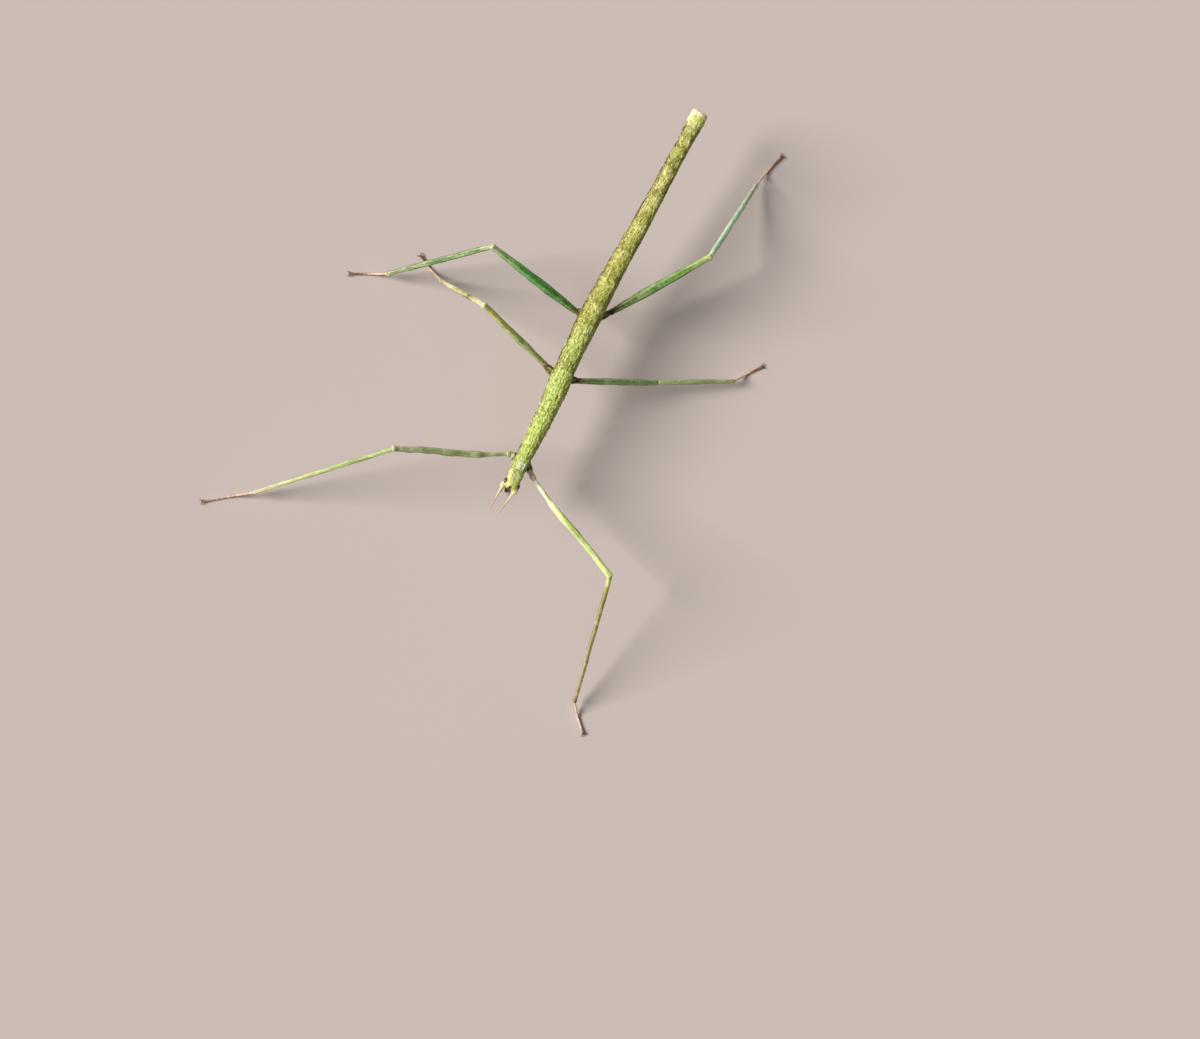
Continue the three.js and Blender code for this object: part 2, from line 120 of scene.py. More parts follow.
def painted(ground, layers):
    """Lays display colours over a ground one, one by one, each as strongly as its share says."""
    tint = linear(ground)
    for colour, share in layers:
        tint = blend(tint, linear(colour), share)
    return tint


def between(value, opens, opened, closes, closed):
    """1 from opened to closes, easing to 0 at opens and at closed."""
    return smooth_step(opens, opened, value) * (1 - smooth_step(closes, closed, value))


def ring_angles(count):
    """Angles round a ring from its top: from 0 to a full turn, and the same from -pi to pi."""
    angle = np.linspace(0, FULL_TURN, count, endpoint=False)
    return angle, (angle + math.pi) % FULL_TURN - math.pi


def colour_run(stops, shares):
    """Colours at the shares, from stops of (share, red, green, blue) in rising order."""
    table = np.array(stops, float)
    colours = linear(table[:, 1:])
    return np.stack([np.interp(shares, table[:, 0], colours[:, n]) for n in range(3)], axis=-1)


def value_run(stops, shares):
    """Numbers at the shares, eased between (share, number) stops in rising order."""
    places, values = np.array(stops, float).T
    slot = np.clip(np.searchsorted(places, shares) - 1, 0, len(places) - 2)
    through = smooth_step(places[slot], places[slot + 1], shares)
    return values[slot] + (values[slot + 1] - values[slot]) * through


def cell_number(cells, seed):
    """A repeatable number from 0 to 1 for each whole-number cell."""
    mixed = cells[..., 0] * 73856093 ^ cells[..., 1] * 19349663 ^ cells[..., 2] * 83492791 ^ seed * 668265263
    mixed = (mixed ^ (mixed >> 13)) * 1274126177 & 0xFFFFFFFF
    mixed = (mixed ^ (mixed >> 15)) * 2246822519 & 0xFFFFFFFF
    return ((mixed ^ (mixed >> 16)) & 0xFFFF) / 65535.0


def soft_noise(first, second, third, seed):
    """Smooth noise from -1 to 1, with features about one unit across."""
    points = np.stack(np.broadcast_arrays(first, second, third), axis=-1).astype(float)
    base = np.floor(points).astype(np.int64)
    part = points - base
    part = part * part * (3 - 2 * part)
    total = 0.0
    for corner in np.ndindex(2, 2, 2):
        weight = np.prod(np.where(corner, part, 1 - part), axis=-1)
        total = total + weight * cell_number(base + np.array(corner), seed)
    return total * 2 - 1


def ring_noise(along, angle, across, seed):
    """Noise on a tube that meets itself all the way round: across is features per radian."""
    return soft_noise(along, np.cos(angle) * across, np.sin(angle) * across, seed)


def pebbles(along, angle, cells_round, reach, seed):
    """Height from 0 to 1 of low granules, one to each cell of the unrolled tube."""
    along, around = np.broadcast_arrays(along, angle / FULL_TURN * cells_round)
    height = np.zeros(along.shape)
    for row_step, column_step in np.ndindex(3, 3):
        row = np.floor(along).astype(np.int64) + row_step - 1
        column = np.floor(around).astype(np.int64) + column_step - 1
        cell = np.stack([row, column % cells_round, np.zeros_like(row)], axis=-1)
        size = cell_number(cell, seed + 2)
        away_along = along - row - cell_number(cell, seed)
        away_around = around - column - cell_number(cell, seed + 1)
        radius = reach * (0.45 + 0.55 * size)
        dome = 1 - (away_along**2 + away_around**2) / radius**2
        height = np.maximum(height, np.clip(dome, 0, 1) * (0.4 + 0.6 * size))
    return height


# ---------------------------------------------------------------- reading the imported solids


def corner_values(mesh, name, field, width):
    """A number or vector for each corner point of a mesh, from its attribute."""
    values = np.empty(len(mesh.vertices) * width, np.float32)
    mesh.attributes[name].data.foreach_get(field, values)
    return values.reshape(-1, width)


def node_mesh(name):
    """Corner points in millimetres, and the edges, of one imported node."""
    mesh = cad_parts[name].data
    edges = np.empty(len(mesh.edges) * 2, np.int32)
    mesh.edges.foreach_get("vertices", edges)
    return corner_values(mesh, "position", "vector", 3).astype(float) * TO_MM, edges.reshape(-1, 2)


SOLIDS = {name: node_mesh(name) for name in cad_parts}


def box_of(node):
    """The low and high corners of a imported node's box."""
    points = SOLIDS[node][0]
    return points.min(axis=0), points.max(axis=0)


def cut_points(node, origin, normal):
    """Where the plane through origin crosses the node's edges."""
    points, edges = SOLIDS[node]
    height = (points - origin) @ normal
    first, second = height[edges[:, 0]], height[edges[:, 1]]
    crossing = first * second < 0
    share = (first[crossing] / (first[crossing] - second[crossing]))[:, None]
    return points[edges[crossing, 0]] * (1 - share) + points[edges[crossing, 1]] * share


FRONT = box_of("head")[0][1]


def section_rows(node, inset, spacing):
    """Station, middle, half width, belly and back heights at cuts across one node of the trunk."""
    low, high = box_of(node)
    first, last = low[1] + inset, high[1] - inset
    rows = []
    for place in np.linspace(first, last, max(3, round((last - first) / spacing))):
        cut = cut_points(node, np.array([0, place, 0]), np.array([0, 1.0, 0]))
        low, high = cut.min(axis=0), cut.max(axis=0)
        rows.append([place - FRONT, (low[0] + high[0]) / 2, (high[0] - low[0]) / 2, low[2], high[2]])
    return rows


def softened(values, times):
    """A table's column with its kinks rounded off, its ends kept."""
    for _ in range(times):
        middle = (values[:-2] + 2 * values[1:-1] + values[2:]) / 4
        values = np.concatenate([values[:1], middle, values[-1:]])
    return values


def trunk_sections(nodes, inset, spacing, stations, times):
    """The solids' sections at the stations: middle x, half width, belly and back heights."""
    rows = np.array([row for node in nodes for row in section_rows(node, inset, spacing)])
    columns = [softened(np.interp(stations, rows[:, 0], rows[:, n]), times) for n in range(1, 5)]
    return np.array(columns)


# Millimetres of a limb's solid that count as its end, and that count as touching the next one.
LIMB_END = 0.12
TOUCHING = 0.06


def meeting_place(first, second):
    """The middle of the joint between two limb nodes: their corners that nearly touch."""
    points, others = SOLIDS[first][0], SOLIDS[second][0]
    gaps = np.linalg.norm(points[:, None] - others[None], axis=-1)
    limit = gaps.min() + TOUCHING
    near, near_other = points[gaps.min(axis=1) < limit], others[gaps.min(axis=0) < limit]
    return (near.mean(axis=0) + near_other.mean(axis=0)) / 2


def far_end(node, near):
    """The middle of a limb node's end that is farther from a point."""
    points = SOLIDS[node][0]
    away = unit(points.mean(axis=0) - near)
    reach = (points - near) @ away
    return points[reach > reach.max() - LIMB_END].mean(axis=0)


def middle_line(node, start, end, shares):
    """The middle of the node's section at each share of the way from start to end."""
    axis = unit(end - start)
    side = unit(np.cross(axis, UP))
    rise = np.cross(side, axis)
    line = [start]
    for share in shares:
        origin = start + (end - start) * share
        cut = cut_points(node, origin, axis) - origin
        sideways, upward = cut @ side, cut @ rise
        middle = side * (sideways.min() + sideways.max()) / 2 + rise * (upward.min() + upward.max()) / 2
        line.append(origin + middle)
    line.append(end)
    return np.array(line)


def leg_skeleton(pair, side):
    """The leg's joints and the middle line of each long segment, from its four solids."""
    coxa, femur, tibia, tarsus = (f"{pair}_{side}_{segment}" for segment in SEGMENTS)
    hip, knee, ankle = meeting_place(coxa, femur), meeting_place(femur, tibia), meeting_place(tibia, tarsus)
    shares = (0.1, 0.25, 0.4, 0.55, 0.7, 0.85)
    return {
        "root": far_end(coxa, hip),
        "hip": hip,
        "ankle": ankle,
        "toe": far_end(tarsus, ankle),
        "femur": middle_line(femur, hip, knee, shares),
        "tibia": middle_line(tibia, knee, ankle, shares),
    }


LEGS = {(pair, side): leg_skeleton(pair, side) for pair in PAIRS for side in SIDES}


# ---------------------------------------------------------------- shells of rings


def grid_normals(points):
    """Outward directions on a closed run of rings."""
    along = np.gradient(points, axis=0)
    around = np.roll(points, -1, axis=1) - np.roll(points, 1, axis=1)
    return unit(np.cross(around, along))


def raised(points, relief):
    return points + grid_normals(points) * relief[..., None]


def shell(name, points, tint, grain, mottle):
    """One closed part of the skin, with what its material reads at each of its points."""
    centres = points.mean(axis=1)
    steps = np.linalg.norm(np.diff(centres, axis=0), axis=1)
    along = np.concatenate([[0], np.cumsum(steps)])
    rims = np.linalg.norm(np.roll(points, -1, axis=1) - points, axis=-1).sum(axis=1)
    size = points.shape[:2]
    rise, side = path_frames(centres)
    spokes = points - centres[:, None]
    sideways, upward = (np.sum(spokes * way[:, None], axis=-1) for way in (side, rise))
    return {
        "name": name,
        "points": points,
        "lie": np.stack([np.broadcast_to(along[:, None], size), sideways, upward], axis=-1),
        "along": along,
        "girth": rims.max(),
        "tint": np.broadcast_to(tint, size + (3,)),
        "grain": np.broadcast_to(grain, size),
        "mottle": np.broadcast_to(mottle, size),
    }


def path_frames(path):
    """Directions up and sideways at each point of a path that never stands upright."""
    along = unit(np.gradient(path, axis=0))
    side = unit(np.cross(along, UP))
    return np.cross(side, along), side


def even_path(corners, step, smoothing):
    """Points a step apart along a line of corners, with its bends rounded, a column of their
    shares of the way along it, and its length."""
    lengths = np.concatenate([[0], np.cumsum(np.linalg.norm(np.diff(corners, axis=0), axis=1))])
    places = np.linspace(0, lengths[-1], max(6, round(lengths[-1] / step)))
    path = np.stack([np.interp(places, lengths, corners[:, n]) for n in range(3)], axis=-1)
    for _ in range(smoothing):
        path[1:-1] = (path[:-2] + 2 * path[1:-1] + path[2:]) / 4
    return path, (places / lengths[-1])[:, None], lengths[-1]


def narrowed(into_end, power):
    """Narrows a tube's end to a dome: 1 before the end begins, near 0 at its tip."""
    return np.sqrt(np.clip(1 - np.clip(into_end, 0, 1) ** power, 0.0004, 1))


def rounded_ends(places, length, start_cap, end_cap):
    """Narrows both ends of a tube to domes as long as the caps."""
    return narrowed(1 - places / start_cap, 2.4) * narrowed(1 - (length - places) / end_cap, 2.4)


def tube_points(path, radius):
    """Rings round a path. radius is given for each point and angle, with angle 0 on top."""
    rise, side = path_frames(path)
    angle = ring_angles(radius.shape[1])[0][:, None]
    spokes = np.cos(angle) * rise[:, None] + np.sin(angle) * side[:, None]
    return path[:, None] + spokes * radius[..., None]


def body_rings(stations, sections, waist, squareness, wide, tall, angle):
    """Rings of rounded squares across the body. waist is how high each is widest, as a share of
    its height, and wide and tall narrow them."""
    middle, width, belly, back = sections[..., None]
    height = belly + (back - belly) * waist
    cosine, sine = np.cos(angle), np.sin(angle)
    round_off = (np.abs(cosine) ** squareness + np.abs(sine) ** squareness) ** (-1 / squareness)
    upward = np.where(cosine > 0, back - height, height - belly)
    x = middle + width * sine * round_off * wide[:, None]
    z = height + upward * cosine * round_off * tall[:, None]
    return np.stack([x, np.broadcast_to(FRONT + stations[:, None], x.shape), z], axis=-1)


# ---------------------------------------------------------------- colours of the body

LIME = (230, 238, 130)
THORAX_GREEN = (192, 214, 120)
BACK_OLIVE = (186, 184, 98)
TAIL_GREEN = (222, 224, 132)
TAIL_CREAM = (254, 244, 206)
PALE_CREAM = (242, 238, 180)
PLATE_BROWN = (116, 104, 46)
# Dark brown of the flanks, cheeks and hip joints, which on the trunk's flanks is also painted shade.
BROWN_AND_SIDE_SHADE = (80, 62, 30)
BELLY_TAN = (158, 148, 98)
# Brown for mottling, also used as painted shade in the grooves between plates and in the head's middle
# furrow.
BROWN_AND_GROOVE_SHADE = (98, 84, 42)
CROWN_GREEN = (202, 212, 158)
# Painted highlight on the glossy neck: a bluish-white patch with a whiter streak.
NECK_HIGHLIGHT_BLUE = (222, 236, 234)
COLLAR_HIGHLIGHT_WHITE = (252, 252, 236)
NAPE_GREEN = (138, 184, 104)
# Painted shade for the head's creases and front, and for the slit at the tail's end.
CREVICE_SHADE_DARK = (52, 46, 22)
SOCKET_BROWN = (104, 82, 50)
SPIRACLE_DARK = (50, 38, 24)


def plate_ends():
    """Stations of the neck, the seams between the trunk's plates, and the tail's end."""
    lows, highs = zip(*(box_of(node) for node in ("head",) + PLATES))
    seams = [(high[1] + low[1]) / 2 - FRONT for high, low in zip(highs, lows[1:])]
    return seams[0], np.array(seams[1:]), highs[-1][1] - FRONT


NECK, SEAMS, TAIL_END = plate_ends()
# How long the tail's rounded end is, in millimetres.
TAIL_CAP = 0.3
# How high the body is widest, as a share of its height.
WAIST = 0.45
# The metathorax is the first plate with the olive back of the abdomen.
FIRST_OLIVE_PLATE = 2


def nearest_seam(stations):
    """Columns of each station's signed distance to the nearest seam, its share of the way through
    its plate, and the plate's number."""
    away = stations[:, None] - SEAMS
    nearest = np.abs(away).argmin(axis=1)[:, None]
    edges = np.concatenate([[NECK], SEAMS, [TAIL_END]])
    plate = np.clip(np.searchsorted(edges, stations) - 1, 0, len(edges) - 2)
    share = (stations - edges[plate]) / (edges[plate + 1] - edges[plate])
    return np.take_along_axis(away, nearest, axis=1), np.clip(share, 0, 1)[:, None], plate[:, None]


def socket_shade(points):
    """1 at the sockets of the hips, fading to 0 about half a millimetre away."""
    shade = np.zeros(points.shape[:-1])
    for leg in LEGS.values():
        middle = (leg["root"] + leg["hip"]) / 2
        distance = np.linalg.norm(points - middle, axis=-1)
        shade = np.maximum(shade, 1 - smooth_step(0.5, 0.85, distance))
    return shade


def trunk_tint(stations, angle, points):
    """The trunk's ground colour: green thorax, olive back, brown flanks, tan belly, cream tail, with painted
    shade on the flanks and in the seams and a painted highlight on the neck.
    """
    away, share, plate = nearest_seam(stations)
    column, lean = stations[:, None], np.abs(angle)
    wave = ring_noise(column * 0.9, angle, 1.4, 11)
    ragged = ring_noise(column * 2.6, angle, 5.0, 13)
    streaks = ring_noise(column * 4.2, angle, 3.6, 17)
    clouds = ring_noise(column * 1.9, angle, 2.3, 19) + 0.5 * streaks
    blotches = np.clip(0.62 + 0.9 * ring_noise(column * 1.7, angle, 3, 5), 0, 1)
    abdomen = plate >= FIRST_OLIVE_PLATE
    plate_front = abdomen * (1 - smooth_step(0.08, 0.5, share + 0.15 * ragged))
    plate_rear = abdomen * bell(share, 0.78, 0.24) * bell(lean, 0.1, 0.6)
    plate_rear = plate_rear * smooth_step(-0.05, 0.35, 0.55 * ragged + 0.8 * streaks)
    rear = smooth_step(27.0, 30.0, column) * bell(lean, 0.3, 1.0)
    below_back = smooth_step(0, 0.25, lean - (1.14 - 0.14 * abdomen) + wave * 0.12)
    flank_and_shade = below_back * (1 - smooth_step(1.85, 2.15, lean + wave * 0.1))
    into_tail = column - SEAMS[-1] + 0.35 * ragged + 0.25 * streaks
    tail = smooth_step(-0.25, 0.25, into_tail) * (1 - 0.4 * smooth_step(1.3, 1.7, lean))
    rim = smooth_step(0.72, 1.15, into_tail + 0.25 * lean**2)
    before_tail = bell(into_tail, -0.35, 0.22) * (1 - smooth_step(0.9, 1.6, lean) * 0.4)
    collar = between(column, NECK - 0.1, NECK + 0.1, 2.6, 2.85)
    spiracles = bell(share, 0.16, 0.03) * bell(lean, 1.98, 0.05) * (plate > FIRST_OLIVE_PLATE)
    layers = (
        (BACK_OLIVE, smooth_step(12.5, 18.5, column + wave * 1.5)),
        (LIME, bell(lean, 0, 0.5) * (0.35 + 0.3 * wave)),
        (PLATE_BROWN, smooth_step(0.45, 1.15, lean) * 0.35),
        (PLATE_BROWN, plate_front * 0.4),
        (PALE_CREAM, plate_rear * 0.85),
        (BROWN_AND_GROOVE_SHADE, rear * smooth_step(0.08, 0.55, clouds) * 0.55),
        (PALE_CREAM, rear * smooth_step(0.12, 0.6, -clouds) * 0.55),
        # The flanks' brown stripe, reaching up the sides and darkened as painted shade on the trunk's sides.
        (BROWN_AND_SIDE_SHADE, flank_and_shade * blotches),
        (BELLY_TAN, smooth_step(2.0, 2.3, lean) * 0.9),
        (TAIL_GREEN, tail * 0.9),
        (TAIL_CREAM, tail * np.maximum(rim, 0.45 * smooth_step(0.05, 0.4, streaks))),
        (BROWN_AND_GROOVE_SHADE, before_tail * 0.4),
        # Painted shade in the grooves between the plates.
        (BROWN_AND_GROOVE_SHADE, bell(away, 0.01, 0.045) * 0.2),
        (SOCKET_BROWN, socket_shade(points) * 0.8),
        (NAPE_GREEN, collar * bell(lean, 0.8, 0.2) * bell(column, 2.3, 0.4) * 0.5),
        # Painted highlight on the glossy neck.
        (NECK_HIGHLIGHT_BLUE, collar * bell(lean, 0.22, 0.27) * bell(column, 2.48, 0.34)),
        (COLLAR_HIGHLIGHT_WHITE, collar * bell(lean, 0.13, 0.1) * bell(column, 2.42, 0.36)),
        (SPIRACLE_DARK, np.clip(spiracles * 1.6, 0, 1)),
    )
    return painted(THORAX_GREEN, layers)


def trunk_relief(stations, angle):
    """Seams, keels, wrinkles and granules of the trunk, in millimetres, and the granules' heights."""
    away, _, _ = nearest_seam(stations)
    column, lean = stations[:, None], np.abs(angle)
    thorax = 1 - smooth_step(16.0, 17.5, column)
    seams = 0.016 * bell(away, -0.15, 0.09) - 0.032 * bell(away, 0, 0.045)
    middle_keels = 0.03 * bell(lean, 0, 0.045) * (0.35 + 0.65 * thorax) + 0.015 * bell(lean, math.pi, 0.08)
    side_keels = 0.012 * bell(lean, 0.8, 0.08) + 0.035 * bell(lean, 1.62, 0.06)
    side_keels = side_keels - 0.03 * bell(lean, 2.02, 0.07)
    wrinkles = 0.03 * ring_noise(column * 1.5, angle, 4.5, 21)
    wrinkles = wrinkles + 0.012 * ring_noise(column * 3.6, angle, 9.0, 22)
    upper = 1 - 0.6 * smooth_step(1.7, 2.1, lean)
    coarse = pebbles(column / 0.24, angle, 25, 0.52, 31) * upper * (0.7 + 0.5 * thorax)
    fine = pebbles(column / 0.115, angle, 52, 0.55, 37) * upper
    tooth = column * 1.35 + 0.4 * np.sign(angle)
    tooth_cell = np.stack([np.floor(tooth), np.sign(angle) + 0 * column, 0 * tooth], axis=-1).astype(np.int64)
    teeth = bell(tooth % 1, 0.5, 0.16) * bell(lean, 1.5, 0.09) * (0.2 + 1.1 * cell_number(tooth_cell, 41))
    teeth = teeth * between(column, 3.6, 4.4, 10.2, 11.0)
    relief = seams + middle_keels + side_keels + wrinkles
    relief = relief + 0.042 * coarse + 0.018 * fine + 0.1 * teeth - 0.014
    return relief, np.clip(coarse + 0.5 * fine + teeth, 0, 1)


def tail_hollow(into_cap, angle):
    """How far the tail's end is drawn in: a slit between its upper and lower plate, and a shallow
    notch in the upper plate's rim."""
    slit = 0.32 * smooth_step(0.86, 1.0, into_cap)
    notch = 0.1 * smooth_step(0.1, 0.8, into_cap)
    return slit[:, None] + notch[:, None] * bell(angle, 0, 0.45)


def trunk_shell():
    start = NECK - 0.14
    stations = np.linspace(start, TAIL_END - TAIL_CAP, round((TAIL_END - TAIL_CAP - start) / TRUNK_STEP))
    capped = TAIL_END - TAIL_CAP * (1 - np.linspace(0, 1, 26)[1:] ** 0.6)
    stations = np.concatenate([stations, capped])
    angle, signed = ring_angles(TRUNK_ROUND)
    neck_end = rounded_ends(stations - start, TAIL_END - start, 0.3, 0.01)
    into_cap = np.clip(1 - (TAIL_END - stations) / TAIL_CAP, 0, 1)
    wide = neck_end * np.sqrt(1 - 0.8 * into_cap**5)
    tall = neck_end * np.sqrt(1 - 0.9985 * into_cap**3)
    sections = trunk_sections(PLATES, 0.16, 0.5, stations, 60)
    points = body_rings(stations, sections, WAIST, 2.25, wide, tall, angle)
    points[..., 1] -= tail_hollow(into_cap, signed)
    relief, grain = trunk_relief(stations, signed)
    points = raised(points, relief * (neck_end * (1 - into_cap**2))[:, None])
    tint = trunk_tint(stations, signed, points)
    # Painted shade inside the slit at the tail's end.
    tint = blend(tint, linear(CREVICE_SHADE_DARK), smooth_step(0.93, 1.0, into_cap)[:, None])
    mottle = (1 - 0.7 * smooth_step(SEAMS[-1] - 0.05, SEAMS[-1] + 0.1, stations))[:, None]
    mottle = mottle * (1 - 0.5 * smooth_step(1.9, 2.3, np.abs(signed)))
    return shell("trunk", points, tint, grain, mottle)


# ---------------------------------------------------------------- head

# How far the head's skin stays inside its solid, at the sides and at the front.
HEAD_SLIMMER = 0.015
HEAD_INSET = 0.02
# Millimetres of a feeler's solid that count as its root and as its tip.
FEELER_ENDS = (0.15, 0.1)


def eye_shape(side):
    """Centre and radii of an eye, from its solid: the solid's inner part is cut by the head."""
    low, high = box_of(f"eye_{side}")
    centre, radii = (low + high) / 2, (high - low) / 2 * 0.92
    radii[0] = radii[1] * 0.8
    outward = 1 if side == "left" else -1
    outer = high[0] if side == "left" else low[0]
    centre[0] = outer - outward * (radii[0] + 0.05)
    return centre, radii


def forward_ends(node, root_depth, tip_depth):
    """The middles of the rear and front ends of a node that points forward."""
    points = SOLIDS[node][0]
    place = points[:, 1]
    root, tip = place > place.max() - root_depth, place < place.min() + tip_depth
    return points[root].mean(axis=0), points[tip].mean(axis=0)


def head_relief(points, stations, angle):
    """The head's furrows, sockets and granules, the granules' heights, its painted shade and where it is
    pale.
    """
    column, lean = stations[:, None], np.abs(angle)
    x, y, z = np.moveaxis(points, -1, 0)
    centre_line = x - points[-1, :, 0].mean()
    behind = smooth_step(0.3, 0.55, column)
    coarse = pebbles(column / 0.2, angle, 22, 0.5, 53) * behind
    fine = pebbles(column / 0.1, angle, 46, 0.55, 57) * behind
    cheek = 1 - 0.5 * smooth_step(1.5, 1.9, lean)
    relief = 0.02 * soft_noise(x / 0.28, y / 0.4, z / 0.28, 51)
    relief += 0.01 * soft_noise(x / 0.1, y / 0.13, z / 0.1, 52)
    relief += (0.03 * coarse + 0.014 * fine) * cheek
    relief += 0.025 * (bell(lean, 0.62, 0.09) - bell(lean, 0, 0.035)) * between(column, 0.5, 0.75, 1.6, 1.8)
    relief -= 0.02 * bell(column, 1.45 - 0.25 * (1 - lean), 0.05) * (lean < 1)
    dark = pale = np.zeros(points.shape[:2])
    for side in SIDES:
        centre, radii = eye_shape(side)
        away = np.linalg.norm((points - centre) / radii, axis=-1)
        root, tip = forward_ends(f"antenna_{side}", *FEELER_ENDS)
        ahead = unit(tip - root)
        beside = (points - root) - ((points - root) @ ahead)[..., None] * ahead
        ring = np.linalg.norm(beside, axis=-1)
        near = 1 - smooth_step(0.35, 0.55, column)
        relief += 0.06 * bell(away, 1.2, 0.16) - 0.04 * (away < 1.0)
        relief += (0.07 * bell(ring, 0.25, 0.05) - 0.05 * bell(ring, 0, 0.16)) * near
        # Painted shade in the crease round each eye and inside each feeler's socket rim.
        dark = np.maximum.reduce([dark, bell(away, 1.02, 0.13) * 0.8, bell(ring, 0.19, 0.05) * 0.6 * near])
        pale = np.maximum.reduce([pale, bell(away, 1.3, 0.12) * 0.3, bell(ring, 0.27, 0.05) * 0.7 * near])
    relief -= 0.13 * bell(centre_line, 0, 0.15) * between(column, 0.0, 0.03, 0.12, 0.5)
    # Painted shade down the middle of the head's front, between the feelers' roots.
    dark = np.maximum(dark, bell(centre_line, 0, 0.19) * (1 - smooth_step(0.12, 0.42, column)))
    return relief, np.clip(coarse + 0.4 * fine, 0, 1), dark, pale


def head_tint(points, stations, angle, dark, pale):
    """The head's ground colour: grey-green crown, pale brow and side stripes, brown cheeks, and painted shade
    in its creases.
    """
    column, lean = stations[:, None], np.abs(angle)
    x, y, z = np.moveaxis(points, -1, 0)
    wave = soft_noise(x / 0.42, y / 0.6, z / 0.42, 61)
    layers = (
        (LIME, np.clip(0.45 + 0.7 * wave, 0, 1)),
        (PALE_CREAM, bell(lean, 1.02, 0.1) * smooth_step(0.6, 0.85, column) * 0.9),
        (PALE_CREAM, bell(column, 0.42, 0.2) * bell(lean, 0.85, 0.2) * 0.6),
        (BROWN_AND_SIDE_SHADE, between(lean, 1.15, 1.4, 1.6, 1.95) * smooth_step(0.7, 0.9, column) * 0.75),
        (BELLY_TAN, smooth_step(1.8, 2.2, lean) * 0.8),
        (NAPE_GREEN, smooth_step(1.3, 1.7, column) * bell(lean, 0.5, 0.2) * 0.6),
        # Painted shade in the head's middle furrow.
        (BROWN_AND_GROOVE_SHADE, bell(lean, 0, 0.035) * 0.4 * smooth_step(0.6, 0.8, column)),
        (PALE_CREAM, pale),
        # Painted shade in the head's creases and at its front.
        (CREVICE_SHADE_DARK, dark),
    )
    return painted(CROWN_GREEN, layers)


def head_shell():
    end = NECK + 0.12
    stations = np.linspace(0.0, end, round(end / HEAD_STEP))
    stations = np.concatenate([np.linspace(0, stations[2], 6)[:-1], stations[2:]])
    angle, signed = ring_angles(HEAD_ROUND)
    sections = trunk_sections(("head",), 0.1, 0.12, stations, 6)
    sections[1] -= HEAD_SLIMMER
    waist = (WAIST - 0.1 * (1 - smooth_step(0, 0.5, stations)))[:, None]
    rear = narrowed((stations - NECK + 0.16) / 0.28, 2)
    wide = rear * narrowed(1 - stations / 0.32, 3)
    tall = rear * narrowed(1 - stations / 0.5, 2.4)
    points = body_rings(stations + HEAD_INSET, sections, waist, 2.3, wide, tall, angle)
    relief, grain, dark, pale = head_relief(points, stations, signed)
    points = raised(points, relief * smooth_step(0, 0.4, wide)[:, None])
    tint = head_tint(points, stations, signed, dark, pale)
    return shell("head", points, tint, grain, 0.5)


# ---------------------------------------------------------------- legs

# Thickness in millimetres at shares of each segment. The solids are thicker where a real leg is
# too thin for a printed or moulded part.
THICKNESS = {
    ("fore", "femur"): (
        (0, 0.42), (0.05, 0.38), (0.18, 0.4), (0.3, 0.62), (0.5, 0.66), (0.8, 0.6), (1, 0.54),
    ),
    ("fore", "tibia"): ((0, 0.38), (0.06, 0.46), (0.3, 0.44), (0.8, 0.4), (0.97, 0.36), (1, 0.38)),
    ("mid", "femur"): ((0, 0.46), (0.1, 0.6), (0.4, 0.7), (0.8, 0.62), (1, 0.56)),
    ("mid", "tibia"): ((0, 0.38), (0.1, 0.5), (0.5, 0.47), (0.95, 0.38), (1, 0.4)),
    ("hind", "femur"): ((0, 0.5), (0.1, 0.7), (0.36, 0.92), (0.62, 0.82), (0.85, 0.64), (1, 0.56)),
    ("hind", "tibia"): ((0, 0.38), (0.08, 0.52), (0.4, 0.56), (0.8, 0.5), (0.95, 0.4), (1, 0.4)),
}

